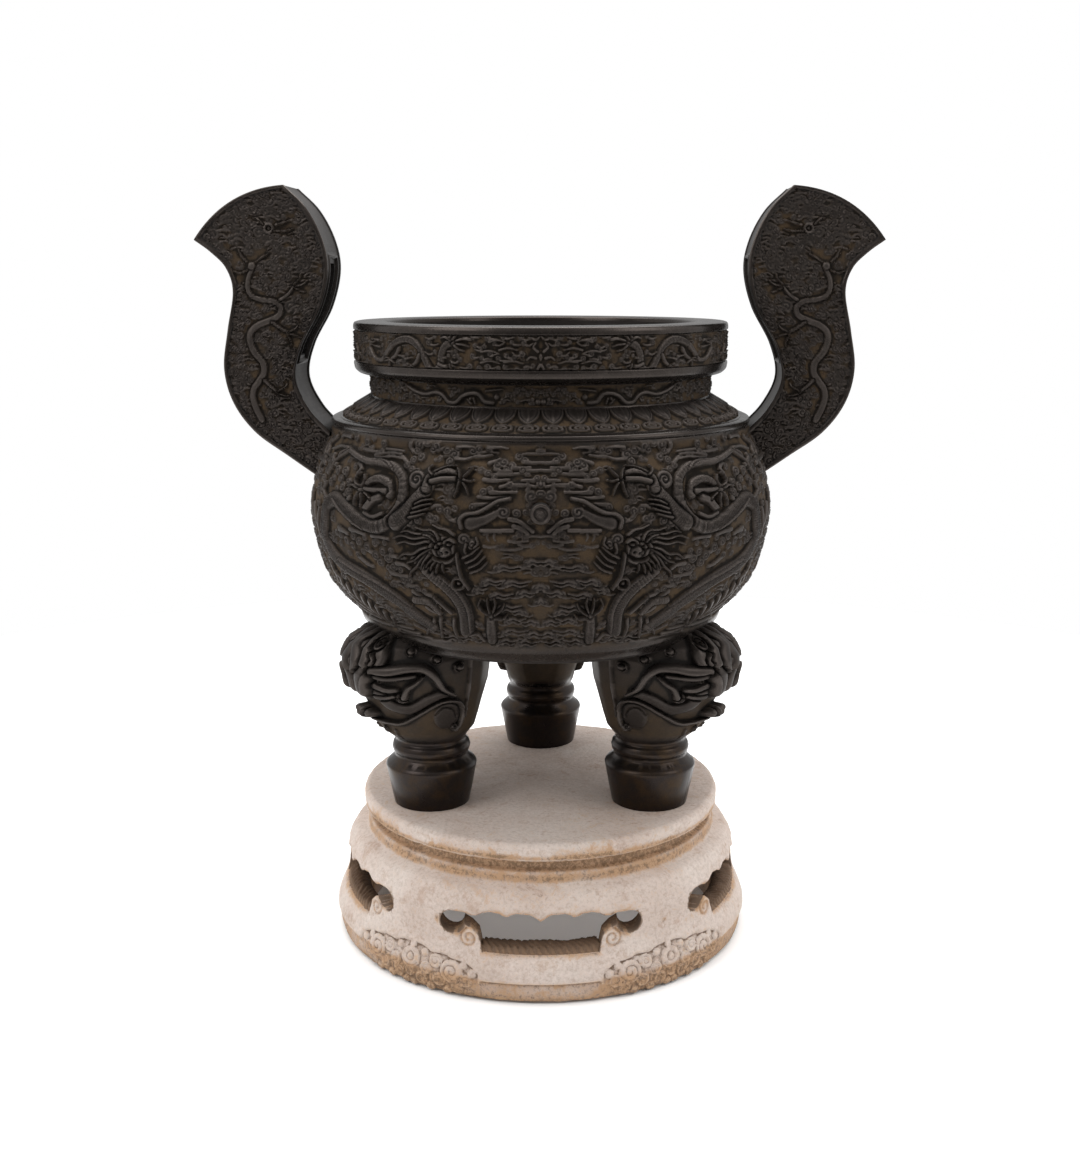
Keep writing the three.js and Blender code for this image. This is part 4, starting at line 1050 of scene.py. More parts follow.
    ('R', [(-14.1, 1420), (-11.8, 1424), (-9.8, 1420)], 2.4, 1.3, 4.2),
    ('R', [(-16.4, 1400), (-13.8, 1402), (-11.5, 1397)], 2.4, 1.3, 4.2),
    ('R', [(-11.3, 1404), (-8.8, 1408), (-6.3, 1404)], 2.4, 1.3, 4.2),
    ('R', [(-16.5, 1378), (-13.9, 1382), (-11.1, 1377)], 2.4, 1.3, 4.2),
    ('R', [(-10.0, 1380), (-7.3, 1382), (-4.8, 1377)], 2.4, 1.3, 4.2),
    ('R', [(-19.2, 1359), (-16.5, 1356), (-13.9, 1358)], 2.4, 1.3, 4.2),
    ('R', [(-11.3, 1357), (-8.6, 1355), (-5.8, 1357)], 2.4, 1.3, 4.2),
    ('R', [(-8.0, 1433), (-5.8, 1438), (-3.8, 1435)], 2.4, 1.3, 4.2),
    ('R', [(-71.7, 1404), (-69.6, 1378), (-72.6, 1361)], 2.4, 1.3, 4.2),
    ('R', [(-58.7, 1408), (-59.4, 1390), (-58.2, 1383)], 2.4, 1.3, 4.2),
    ('T', [(-45.8, 1321), (-42.0, 1311), (-38.1, 1307), (-34.0, 1312), (-31.4, 1307), (-29.2, 1293), (-26.7, 1293), (-24.5, 1306), (-21.8, 1313), (-19.2, 1312), (-17.2, 1297), (-14.7, 1294)], 4, 5, 4),
    ('R', [(-22.8, 1300), (-21.5, 1290)], 2, 1.5, 4),
    ('R', [(-20.8, 1303), (-20.2, 1291)], 2, 1.5, 4),
    ('D', [(-21.8, 1301)], 4, 4),
    ('C', [(-57.7, 1292)], 6, 3.6),
    ('C', [(-50.7, 1291)], 6, 3.6),
    ('C', [(-44.9, 1289)], 5, 3.4),
    ('C', [(-39.4, 1289)], 5, 3.4),
    ('C', [(-52.3, 1312)], 5, 3.4),
    ('C', [(-35.3, 1291)], 5, 3.4),
    ('C', [(-25.6, 1318)], 5, 3.2),
    ('D', [(-13.4, 1306)], 6, 4),
    ('C', [(-10.0, 1311)], 6, 3.4),
    ('C', [(-6.9, 1297)], 5, 3.4),
    ('C', [(-3.9, 1313)], 6, 3.4),
    ('D', [(-0.8, 1297)], 6, 3.8),
    ('R', [(-16.9, 1318), (-14.0, 1321), (-11.5, 1323)], 2, 1.5, 3.4),
]
PLINTH_ART = [
]
EAR_ART = [
    ('T', [(640, 1568), (650, 1546), (653, 1524), (643, 1506), (621, 1498), (596, 1495), (580, 1482), (583, 1465), (604, 1453), (632, 1442), (649, 1427), (652, 1405), (642, 1380), (626, 1360), (623, 1337), (635, 1317), (647, 1301), (651, 1279), (643, 1251), (632, 1229)], 5.0, 7.2, 4.9),
    ('D', [(642, 1572)], 8.8, 4.9),
    ('T', [(653, 1581), (664, 1594), (670, 1609)], 2.2, 1.4, 4.6),
    ('T', [(631, 1581), (616, 1592), (603, 1598)], 2.2, 1.4, 4.6),
    ('T', [(652, 1563), (668, 1557), (684, 1561)], 2.2, 1.4, 4.6),
    ('K', [(600, 1654)], 9, 4.6),
    ('T', [(584, 1661), (564, 1667), (543, 1673)], 2.2, 1.4, 4.4),
    ('T', [(587, 1648), (567, 1648), (547, 1652)], 2.2, 1.4, 4.4),
    ('T', [(613, 1663), (624, 1674), (635, 1676)], 2.2, 1.4, 4.4),
    ('D', [(547, 1530)], 4.8, 4.9),
    ('T', [(580, 1498), (561, 1511), (549, 1526)], 3.6, 2.9, 4.8),
    ('T', [(547, 1533), (535, 1544), (532, 1555)], 1.8, 1.4, 4.8),
    ('T', [(542, 1528), (526, 1533), (517, 1541)], 1.8, 1.4, 4.8),
    ('T', [(545, 1524), (531, 1517), (522, 1515)], 1.8, 1.4, 4.8),
    ('D', [(564, 1425)], 4.8, 4.9),
    ('T', [(600, 1449), (582, 1436), (566, 1427)], 3.6, 2.9, 4.8),
    ('T', [(562, 1427), (548, 1434), (541, 1443)], 1.8, 1.4, 4.8),
    ('T', [(560, 1423), (544, 1418), (533, 1414)], 1.8, 1.4, 4.8),
    ('T', [(565, 1418), (558, 1405), (559, 1394)], 1.8, 1.4, 4.8),
    ('D', [(595, 1293)], 4.8, 4.9),
    ('T', [(623, 1319), (610, 1306), (597, 1295)], 3.6, 2.9, 4.8),
    ('T', [(592, 1295), (578, 1302), (571, 1311)], 1.8, 1.4, 4.8),
    ('T', [(590, 1288), (577, 1284), (565, 1284)], 1.8, 1.4, 4.8),
]
LEG_ART = [
    ('T', [(27.3, 643), (38.3, 613), (55.2, 606), (73.2, 630), (87.5, 644)], 16, 12, 7),
    ('F', [(90.0, 579)], 34, 4),
    ('T', [(18.1, 756), (2.9, 737), (4.8, 705)], 9, 12, 14),
    ('T', [(6.1, 772), (2.0, 750), (8.6, 718), (9.6, 689)], 10, 15, 16),
    ('T', [(19.7, 768), (19.7, 746), (21.4, 714), (18.2, 674), (16.0, 645)], 11, 16, 17),
    ('T', [(31.3, 769), (32.4, 747), (33.7, 728), (31.4, 705)], 9, 13, 15),
    ('T', [(16.8, 696), (9.4, 669), (7.9, 638)], 10, 13, 12),
    ('D', [(27.7, 756)], 14, 16),
    ('C2', [(27.7, 756)], 11, 15),
    ('T', [(29.0, 697), (43.4, 702), (56.2, 709), (67.8, 708), (77.3, 689), (83.6, 658), (92.7, 639)], 13, 4.5, 15),
    ('T', [(29.0, 684), (39.9, 682), (51.4, 686), (62.1, 690)], 7, 5, 8),
    ('D', [(49.9, 636)], 12, 11),
    ('G', [(46.6, 636), (50.6, 643), (52.7, 636), (49.1, 630), (46.6, 636)], 1.6, 4),
    ('T', [(52.6, 639), (56.1, 659), (62.9, 672), (69.2, 689)], 7, 2.5, 12),
    ('T', [(26.9, 661), (37.6, 654), (46.9, 656)], 8, 5, 8),
    ('T', [(24.5, 632), (33.9, 633), (43.6, 640)], 7, 4, 7),
    ('D', [(4.7, 583)], 17, 22),
    ('D', [(10.3, 585)], 12, 20),
    ('G', [(11.3, 573), (17.4, 581)], 4, 9),
    ('T', [(4.9, 568), (24.0, 564), (41.7, 566), (60.2, 590), (76.6, 614), (87.4, 622), (99.6, 614), (106.5, 588), (106.2, 557), (101.0, 539)], 4.5, 4.5, 9),
    ('G', [(16.6, 578), (28.9, 574), (42.6, 576), (59.8, 598), (76.5, 621), (87.4, 630), (98.3, 623)], 2.2, 6),
    ('C', [(98.6, 548)], 9, 7),
    ('G', [(76.8, 587), (85.0, 604), (94.6, 596), (99.7, 575)], 2, 3),
    ('F', [(57.3, 743)], 12.5, 5),
    ('G', [(55.2, 742), (56.8, 747), (59.4, 743), (57.6, 738), (55.2, 742)], 1.5, 2.5),
    ('D', [(57.3, 743)], 7, 9),
    ('F', [(79.3, 724)], 12.5, 5),
    ('G', [(77.3, 725), (79.3, 729), (81.4, 724), (79.3, 719), (77.3, 725)], 1.5, 2.5),
    ('D', [(79.3, 724)], 7, 9),
    ('F', [(99.5, 700)], 12.5, 5),
    ('G', [(97.0, 701), (99.3, 705), (101.9, 699), (99.6, 694), (97.0, 701)], 1.5, 2.5),
    ('D', [(99.5, 700)], 7, 9),
    ('G', [(108.2, 704), (108.1, 656), (107.3, 602), (110.0, 562)], 2.4, 4),
    ('T', [(112.3, 715), (112.4, 671), (112.1, 617), (114.2, 566)], 3.5, 2.5, 4.5),
    ('R', [(32.6, 680), (31.0, 668)], 1.9, 1.2, 7),
    ('R', [(35.0, 681), (33.6, 670)], 1.9, 1.2, 7),
    ('R', [(37.5, 682), (36.1, 671)], 1.9, 1.2, 7),
    ('R', [(39.7, 683), (38.5, 672)], 1.9, 1.2, 7),
    ('R', [(42.0, 683), (40.8, 673)], 1.9, 1.2, 7),
    ('R', [(44.2, 684), (43.1, 674)], 1.9, 1.2, 7),
    ('R', [(46.3, 685), (45.3, 675)], 1.9, 1.2, 7),
    ('R', [(48.3, 685), (47.4, 675)], 1.9, 1.2, 7),
    ('R', [(50.3, 686), (49.5, 676)], 1.9, 1.2, 7),
    ('G', [(29.9, 667), (40.8, 668), (50.6, 676)], 1.6, 4),
    ('T', [(27.3, 714), (28.8, 724), (25.1, 735)], 5, 3, 17),
    ('C', [(12.1, 541)], 9, 6),
    ('R', [(25.8, 541), (25.5, 519), (17.4, 497)], 4, 3, 3),
]


# ------------------------------------------------------------------ materials
def nodes_of(mat):
    mat.use_nodes = True
    nt = mat.node_tree
    nt.nodes.clear()
    return nt, nt.nodes, nt.links


def bronze(name, hue=(0.0298, 0.0245, 0.0215), ochre=(0.044, 0.0275, 0.0138), dark=(0.0050, 0.0040, 0.0032), rough=0.50, bump=0.30, mottle=0.0):
    """Old dark patinated bronze: worn high spots, ochre-brown dust on the sunk ground, and painted shade, near black,
    in the corners and recesses.
    Attributes of the mesh: relief (0 in corners, 0.5 flat, 1 on crests), ground (1 on the sunk ground), polish (1 on
    smooth mouldings)."""
    mat = bpy.data.materials.new(name)
    nt, N, L = nodes_of(mat)
    out = N.new("ShaderNodeOutputMaterial"); b = N.new("ShaderNodeBsdfPrincipled")
    L.new(b.outputs[0], out.inputs[0])
    tc = N.new("ShaderNodeTexCoord")

    def noise(scale, detail=5.0, rough_=0.6, dist=0.0):
        n = N.new("ShaderNodeTexNoise")
        n.inputs["Scale"].default_value = scale; n.inputs["Detail"].default_value = detail
        n.inputs["Roughness"].default_value = rough_; n.inputs["Distortion"].default_value = dist
        L.new(tc.outputs["Object"], n.inputs["Vector"])
        return n

    def ramp(src, stops):
        r = N.new("ShaderNodeValToRGB")
        e = r.color_ramp.elements
        while len(e) < len(stops):
            e.new(0.5)
        for el, (p, c) in zip(e, stops):
            el.position = p
            el.color = (c, c, c, 1) if not hasattr(c, "__len__") else (*c, 1)
        L.new(src, r.inputs[0])
        return r.outputs[0]

    def math_(op, a, b_=None, c=None):
        m = N.new("ShaderNodeMath"); m.operation = op
        for sock, v in zip(m.inputs, (a, b_, c)):
            if v is None:
                continue
            if isinstance(v, bpy.types.NodeSocket):
                L.new(v, sock)
            else:
                sock.default_value = v
        return m.outputs[0]

    def mix(fac, a, b_, blend="MIX"):
        m = N.new("ShaderNodeMix"); m.data_type = "RGBA"; m.blend_type = blend
        for sock, v in ((m.inputs[0], fac), (m.inputs[6], a), (m.inputs[7], b_)):
            if isinstance(v, bpy.types.NodeSocket):
                L.new(v, sock)
            elif hasattr(v, "__len__"):
                sock.default_value = (*v, 1)
            else:
                sock.default_value = v
        return m.outputs[2]

    def attr(k):
        a = N.new("ShaderNodeAttribute"); a.attribute_name = k
        return a.outputs["Fac"]

    rel, grd, pol, sca = attr("relief"), attr("ground"), attr("polish"), attr("scale")
    big, mid, fine = noise(3.2, 5, 0.6, 0.6).outputs["Fac"], noise(24.0, 7, 0.68, 0.3).outputs["Fac"], noise(420.0, 3, 0.6).outputs["Fac"]
    broken = math_("MULTIPLY_ADD", mid, 0.30, rel)
    # This mask is painted shade in the corners and recesses: where the relief attribute is low, the colour is mixed
    # towards near black, the metal is lowered and the roughness raised.
    corner_shade = ramp(broken, [(0.40, 1.0), (0.60, 0.0)])
    crest = ramp(broken, [(0.70, 0.0), (0.98, 1.0)])
    dusty = math_("MULTIPLY", grd, ramp(mid, [(0.32, 0.62), (0.56, 1.0)]))
    tone = ramp(big, [(0.30, tuple(0.78 * c for c in hue)), (0.52, hue), (0.72, tuple(1.22 * c for c in hue))])
    if mottle:
        tone = mix(math_("MULTIPLY", ramp(mid, [(0.46, 0.0), (0.66, 1.0)]), mottle), tone, tuple(1.1 * c for c in ochre))
    dust = ramp(math_("MULTIPLY_ADD", mid, 0.6, math_("MULTIPLY", big, 0.4)), [(0.36, tuple(0.66 * c for c in ochre)), (0.52, ochre), (0.68, tuple(1.30 * c for c in ochre))])
    c1 = mix(dusty, tone, dust)
    # painted shade: the corners are mixed towards the near-black colour
    c2 = mix(math_("MULTIPLY", corner_shade, 0.88), c1, dark)
    c3 = mix(math_("MULTIPLY", crest, 0.85), c2, tuple(1.95 * c + 0.006 for c in hue))
    speck = ramp(fine, [(0.30, (0.80, 0.80, 0.80)), (0.65, (1.12, 1.12, 1.12))])
    L.new(mix(1.0, c3, speck, "MULTIPLY"), b.inputs["Base Color"])
    metal = math_("MULTIPLY", math_("SUBTRACT", 1.0, math_("MULTIPLY", dusty, 0.85)), ramp(corner_shade, [(0.0, 0.80), (1.0, 0.10)]))
    L.new(metal, b.inputs["Metallic"])
    r0 = math_("MULTIPLY_ADD", mid, 0.30, rough - 0.15)
    r1 = math_("MULTIPLY_ADD", corner_shade, 0.28, r0)
    r2 = math_("MULTIPLY_ADD", dusty, 0.26, r1)
    r3 = math_("MULTIPLY_ADD", pol, -0.24, r2)
    L.new(math_("MAXIMUM", r3, 0.16), b.inputs["Roughness"])
    b.inputs["Specular IOR Level"].default_value = 0.20
    vor = N.new("ShaderNodeTexVoronoi"); vor.inputs["Scale"].default_value = 215.0
    L.new(tc.outputs["Object"], vor.inputs["Vector"])
    hsum = math_("MULTIPLY_ADD", fine, 0.22, mid)
    hsum = math_("MULTIPLY_ADD", math_("MULTIPLY", vor.outputs["Distance"], sca), -2.0, hsum)
    bp = N.new("ShaderNodeBump"); bp.inputs["Distance"].default_value = 0.0022
    L.new(math_("MULTIPLY_ADD", pol, -0.6 * bump, bump), bp.inputs["Strength"])
    L.new(hsum, bp.inputs["Height"]); L.new(bp.outputs[0], b.inputs["Normal"])
    return mat


def marble(name):
    """Weathered white-pink marble: pitted, ochre and brown stains low down, in coves and on edges."""
    mat = bpy.data.materials.new(name)
    nt, N, L = nodes_of(mat)
    out = N.new("ShaderNodeOutputMaterial"); b = N.new("ShaderNodeBsdfPrincipled")
    L.new(b.outputs[0], out.inputs[0])
    tc = N.new("ShaderNodeTexCoord")

    def noise(scale, detail=5.0, rough_=0.6, dist=0.0):
        n = N.new("ShaderNodeTexNoise")
        n.inputs["Scale"].default_value = scale; n.inputs["Detail"].default_value = detail
        n.inputs["Roughness"].default_value = rough_; n.inputs["Distortion"].default_value = dist
        L.new(tc.outputs["Object"], n.inputs["Vector"])
        return n

    def ramp(src, stops):
        r = N.new("ShaderNodeValToRGB")
        e = r.color_ramp.elements
        while len(e) < len(stops):
            e.new(0.5)
        for el, (p, c) in zip(e, stops):
            el.position = p
            el.color = (c, c, c, 1) if not hasattr(c, "__len__") else (*c, 1)
        L.new(src, r.inputs[0])
        return r

    def mix(fac, a, b_, blend="MIX"):
        m = N.new("ShaderNodeMix"); m.data_type = "RGBA"; m.blend_type = blend
        for sock, v in ((m.inputs[0], fac), (m.inputs[6], a), (m.inputs[7], b_)):
            if isinstance(v, bpy.types.NodeSocket):
                L.new(v, sock)
            elif hasattr(v, "__len__"):
                sock.default_value = (*v, 1)
            else:
                sock.default_value = v
        return m.outputs[2]

    att = N.new("ShaderNodeAttribute"); att.attribute_name = "relief"
    stn = N.new("ShaderNodeAttribute"); stn.attribute_name = "stain_and_shade"
    big = noise(4.5, 6, 0.62, 0.8)
    mid = noise(26.0, 8, 0.72, 0.4)
    grit = noise(120.0, 5, 0.75)
    fine = noise(420.0, 4, 0.75)
    vor = N.new("ShaderNodeTexVoronoi"); vor.inputs["Scale"].default_value = 150.0
    L.new(tc.outputs["Object"], vor.inputs["Vector"])

    def math_(op, a, b_=None, c=None):
        m = N.new("ShaderNodeMath"); m.operation = op
        for sock, v in zip(m.inputs, (a, b_, c)):
            if v is None:
                continue
            if isinstance(v, bpy.types.NodeSocket):
                L.new(v, sock)
            else:
                sock.default_value = v
        return m.outputs[0]

    base = ramp(big.outputs["Fac"], [(0.30, (0.445, 0.362, 0.312)), (0.50, (0.51, 0.430, 0.384)), (0.68, (0.55, 0.484, 0.440))])
    g1 = ramp(grit.outputs["Fac"], [(0.38, 0.0), (0.62, 1.0)]).outputs[0]
    m1 = ramp(mid.outputs["Fac"], [(0.36, 0.0), (0.64, 1.0)]).outputs[0]
    c0 = mix(1.0, base.outputs[0], ramp(g1, [(0.0, (0.84, 0.81, 0.78)), (0.5, (0.98, 0.97, 0.96)), (1.0, (1.08, 1.08, 1.08))]).outputs[0], "MULTIPLY")
    c0 = mix(0.55, c0, ramp(m1, [(0.0, (0.74, 0.62, 0.52)), (0.45, (1.0, 1.0, 1.0))]).outputs[0], "MULTIPLY")
    broken = math_("MULTIPLY_ADD", g1, 0.50, math_("MULTIPLY_ADD", m1, 0.60, -0.55))
    s1 = math_("MULTIPLY_ADD", stn.outputs["Fac"], 1.25, broken)
    # orange-tan wash, then brown grains, then a brown and a near-black brown at the highest values: the brown of the
    # tooled sills, and painted shade deep in the reveals, in the sill troughs and on the inside wall
    c1 = mix(math_("MULTIPLY", ramp(s1, [(0.26, 0.0), (0.92, 1.0)]).outputs[0], 0.86), c0, (0.385, 0.225, 0.112))
    s2 = math_("MULTIPLY_ADD", math_("SUBTRACT", 0.55, g1), 0.75, math_("MULTIPLY_ADD", m1, -0.30, stn.outputs["Fac"]))
    c2 = mix(math_("MULTIPLY", ramp(s2, [(0.50, 0.0), (1.05, 1.0)]).outputs[0], 0.74), c1, (0.140, 0.084, 0.048))
    c2 = mix(math_("MULTIPLY", ramp(math_("MULTIPLY", stn.outputs["Fac"], 0.6), [(0.64, 0.0), (0.78, 1.0)]).outputs[0], 0.90), c2, (0.120, 0.070, 0.041))
    c2 = mix(math_("MULTIPLY", ramp(math_("MULTIPLY", stn.outputs["Fac"], 0.5), [(0.58, 0.0), (0.78, 1.0)]).outputs[0], 0.88), c2, (0.042, 0.024, 0.014))
    # darker brown in the carved recesses, read from the relief attribute
    rec = ramp(math_("MULTIPLY_ADD", g1, 0.12, att.outputs["Fac"]), [(0.26, 0.9), (0.50, 0.0)])
    c3 = mix(rec.outputs[0], c2, (0.150, 0.095, 0.060))
    worn = ramp(math_("MULTIPLY_ADD", g1, 0.12, att.outputs["Fac"]), [(0.66, 0.0), (0.95, 0.55)])
    c3 = mix(worn.outputs[0], c3, (0.56, 0.41, 0.29))
    pit = ramp(vor.outputs["Distance"], [(0.05, 0.6), (0.24, 0.0)])
    pg = ramp(mid.outputs["Fac"], [(0.50, 0.0), (0.66, 1.0)])
    pm = math_("MULTIPLY", pit.outputs[0], pg.outputs[0])
    c4 = mix(pm, c3, (0.26, 0.20, 0.165))
    L.new(c4, b.inputs["Base Color"])
    L.new(math_("MULTIPLY_ADD", mid.outputs["Fac"], 0.4, 0.50), b.inputs["Roughness"])
    b.inputs["Specular IOR Level"].default_value = 0.30
    hs = math_("MULTIPLY_ADD", grit.outputs["Fac"], 0.9, math_("MULTIPLY_ADD", fine.outputs["Fac"], 0.35, mid.outputs["Fac"]))
    hs2 = math_("SUBTRACT", hs, math_("MULTIPLY", pm, 0.8))
    bp = N.new("ShaderNodeBump"); bp.inputs["Strength"].default_value = 0.62; bp.inputs["Distance"].default_value = 0.0028
    L.new(hs2, bp.inputs["Height"]); L.new(bp.outputs[0], b.inputs["Normal"])
    return mat


M_BRONZE = bronze("bronze_carved")
M_PLAIN = bronze("bronze_plain", rough=0.40)
M_FOOT = bronze("bronze_foot", hue=(0.026, 0.0205, 0.0185), ochre=(0.040, 0.024, 0.011), rough=0.56, bump=0.16, mottle=0.60)
M_INSIDE = bronze("bronze_inside", hue=(0.030, 0.026, 0.024), rough=0.60)
M_MARBLE = marble("marble_weathered")


def finish_piece(ob, mat, node):
    ob.data.materials.clear()
    ob.data.materials.append(mat)
    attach(ob, "root")
    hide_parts(node)
    return ob


# ------------------------------------------------------------------ bowl
CELL = 1.2
BELLY_PTS = [(405, 748), (414, 760), (453, 800), (484, 832), (512, 871), (528, 912), (541, 968), (549, 1028), (542, 1084), (525, 1153), (492, 1212), (483, 1228)]


DEEP = 16.0                                                  # ground below the outline the crests reach


def belly_ground():
    P = spline(BELLY_PTS, 4.0)
    t = np.gradient(P, axis=0); t /= np.hypot(t[:, 0], t[:, 1])[:, None]
    n = np.stack([t[:, 1], -t[:, 0]], 1)
    z = P[:, 1]
    k = smoothstep(768, 792, z) * (1 - 0.72 * smoothstep(1208, 1226, z))
    return [tuple(p) for p in P - n * (DEEP * k)[:, None]]


BELLY = Profile(belly_ground())
BR = 500.0
belly = Canvas(-math.pi / 2 * BR - 20, 40, 0, BELLY.len, CELL)


def belly_put(a, z):
    return (math.radians(a) * BR, float(BELLY.v_of_z(z)))


print("belly canvas", belly.h.shape)
art_cover = Canvas(belly.u0, 40, 0, BELLY.len, CELL)
art_cover.draw(BELLY_ART, belly_put)
belly.used = art_cover.used.copy()
V_LO, V_HI = float(BELLY.v_of_z(792)), float(BELLY.v_of_z(1214))
belly.fill_clouds(420, 7.5, 12.5, 5.6, 11, lambda u, v, r: V_LO + r < v < V_HI - r and u < 2)
belly.used[:] = 0
belly.draw(BELLY_ART, belly_put)
belly.h = blur(belly.h, 1) if False else belly.h
uu, vv = belly.grid()
edge = smoothstep(V_LO - 14, V_LO + 2, vv) * (1 - smoothstep(V_HI - 1, V_HI + 9, vv))
belly.h = np.clip(np.where(belly.h > 8.6, 8.6 + (belly.h - 8.6) * 2.05, belly.h), 0, DEEP - 0.4) * edge
belly_flat = (1 - smoothstep(0.8, 2.6, belly.h)) * edge
belly.h = belly.h + 0.3 * value_noise(belly.h.shape, 10 / CELL, 3)
belly_cav = belly.cavity(8, 6.4)


def belly_disp(ph, v, r, z):
    return np.clip(belly.sample(belly.h, fold(ph) * BR, v), -0.4, DEEP - 0.35)


def belly_cavity(ph, v):
    return belly.sample(belly_cav, fold(ph) * BR, v)


def belly_extra(ph, v, r, z):
    return {"ground": belly.sample(belly_flat, fold(ph) * BR, v), "scale": belly.sample(belly.scale, fold(ph) * BR, v), "polish": 1 - smoothstep(V_LO - 8, V_LO + 2, v) + smoothstep(V_HI, V_HI + 6, v)}


def make_bowl():
    step = 1.6
    rows = np.linspace(0, BELLY.len, int(BELLY.len / step))
    phis = ring_angles(int(1850 / step), int(1550 / (step * 1.7)))
    ob = lathe("belly", BELLY, rows, phis, belly_disp, belly_cavity, extra=belly_extra)
    n = len(ob.data.polygons)
    target = 326000
    if n > target:
        decimate(ob, target / n)
    print("belly faces", n, "->", len(ob.data.polygons))
    parts = split(ob, [("belly_front_left", lambda c: (c[:, 1] < 0) & (c[:, 0] < 0)), ("belly_front_right", lambda c: (c[:, 1] < 0) & (c[:, 0] >= 0)),
                       ("belly_back", lambda c: c[:, 1] >= 0)])
    for p in parts:
        print(p.name, len(p.data.polygons))
        finish_piece(p, M_BRONZE, "ding_vessel")


COLLAR = Profile(rounded([(480, 1223), (484, 1228.5), (482, 1235), (473, 1239), (464, 1238.5), (461, 1237.2), (437, 1252.3), (407, 1269.5), (390.5, 1279.5), (389, 1286),
                          (389, 1329), (391.5, 1333.6), (417, 1337), (427, 1346), (429, 1358), (428.6, 1362), (424, 1364), (424, 1432), (428.7, 1434), (429, 1441), (427, 1448.5),
                          (420, 1451), (359, 1451), (352, 1448), (351, 1440)],
                         [0, 2, 3, 3, 1, 0.5, 2, 2, 3, 2, 2, 1, 4, 5, 2, 1, 0.8, 0.8, 1, 3, 3, 3, 3, 3, 0]), 1.2)
CR = 430.0
rim = Canvas(-math.pi / 2 * CR - 20, 40, 0, COLLAR.len, CELL)


def collar_v(z):
    k = COLLAR.p[:, 1].argmax()
    return float(np.interp(z, np.maximum.accumulate(COLLAR.p[:k + 1, 1]), COLLAR.s[:k + 1]))


def rim_put(a, z):
    return (math.radians(a) * CR, collar_v(z))


def make_rim_canvas():
    U, V = rim.grid()
    v_rim0, v_rim1 = collar_v(1364.5), collar_v(1431.5)
    v_nk0, v_nk1 = collar_v(1287), collar_v(1329)
    cover = Canvas(rim.u0, 40, 0, COLLAR.len, CELL)
    cover.draw(RIM_ART, rim_put)
    rim.used = cover.used.copy()
    rim.fill_clouds(360, 3.8, 7.6, 4.2, 5, lambda u, v, r: v_rim0 + r < v < v_rim1 - r and u < 2, 0.70)
    rim.fill_clouds(460, 4.4, 7.8, 4.6, 6, lambda u, v, r: v_nk0 + r < v < v_nk1 - r and u < 2, 0.70)
    rim.used[:] = 0
    rim.draw(RIM_ART, rim_put)
    H = np.clip(rim.h * 1.75, 0, 8.0)
    keep = ((V > v_rim0) & (V < v_rim1)) | ((V > v_nk0 - 2) & (V < v_nk1 + 2))
    H = np.where(keep, H, 0)
    # hanging leaves on the shoulder
    pitch = math.pi * 2 * CR / 52
    x = (U / pitch) - np.floor(U / pitch) - 0.5
    v_a, v_b = collar_v(1281), collar_v(1253.5)
    y = (v_a - V) / (v_a - v_b)
    half = 0.48 * np.clip(1 - np.clip(y, 0, 1) ** 2.6, 0, 1) ** 0.8
    e = (half - np.abs(x)) * pitch
    leaf = np.where((y > 0) & (y < 1), 7.0 * smoothstep(0, 2.0, e) - 3.6 * np.exp(-((e - 5.4) / 1.7) ** 2) + 1.4 * np.exp(-((np.abs(x) * pitch) / 2.4) ** 2) * (e > 7), 0)
    H = np.maximum(H, leaf * (leaf > 0))
    # row of flattened squared spirals
    v_c, v_d = collar_v(1251.5), collar_v(1239.5)
    yy = (V - 0.5 * (v_c + v_d)) / (0.5 * (v_c - v_d))
    xx = x / 0.5
    rho = (np.abs(xx * 1.06) ** 3 + np.abs(yy * 1.02) ** 3) ** (1 / 3)
    ang = np.arctan2(yy, xx) / (2 * math.pi)
    sp = 6.4 * smoothstep(-0.25, 0.45, np.cos(2 * math.pi * (rho * 2.35 - ang))) * (rho < 1.0)
    H = np.maximum(H, np.where(np.abs(yy) < 1.05, sp, 0))
    rim.h = H + 0.15 * value_noise(H.shape, 8 / CELL, 4)
    carved = ((V > v_rim0) & (V < v_rim1)) | ((V > v_nk0 - 2) & (V < v_nk1 + 2)) | ((V > v_d) & (V < v_a))
    rim.used = np.where(carved, 1.0, 0.0)


make_rim_canvas()
rim_cav = rim.cavity(6, 4.6)
rim_flat = (1 - smoothstep(0.7, 2.0, rim.h)) * rim.used

def collar_zone(name, za, zb, goal):
    """A carved band of the collar, reaching 1 mm under the mouldings on both sides."""
    step = 1.5
    va, vb = collar_v(za) - 1.0, collar_v(zb) + 1.0
    rows = np.linspace(va, vb, max(6, int((vb - va) / step)))
    phis = ring_angles(int(1450 / step), int(1250 / (step * 1.7)))

    def disp(ph, v, r, z):
        return rim.sample(rim.h, fold(ph) * CR, v) - 0.35 * (1 - smoothstep(0, 1.0, np.minimum(v - va, vb - v)))
    ob = lathe(name, COLLAR, rows, phis, disp, lambda ph, v: rim.sample(rim_cav, fold(ph) * CR, v),
               extra=lambda ph, v, r, z: {"ground": rim.sample(rim_flat, fold(ph) * CR, v), "polish": 0.0, "scale": rim.sample(rim.scale, fold(ph) * CR, v)})
    n = len(ob.data.polygons)
    if n > goal:
        decimate(ob, goal / n)
    print(name, n, "->", len(ob.data.polygons))
    finish_piece(ob, M_BRONZE, "ding_vessel")


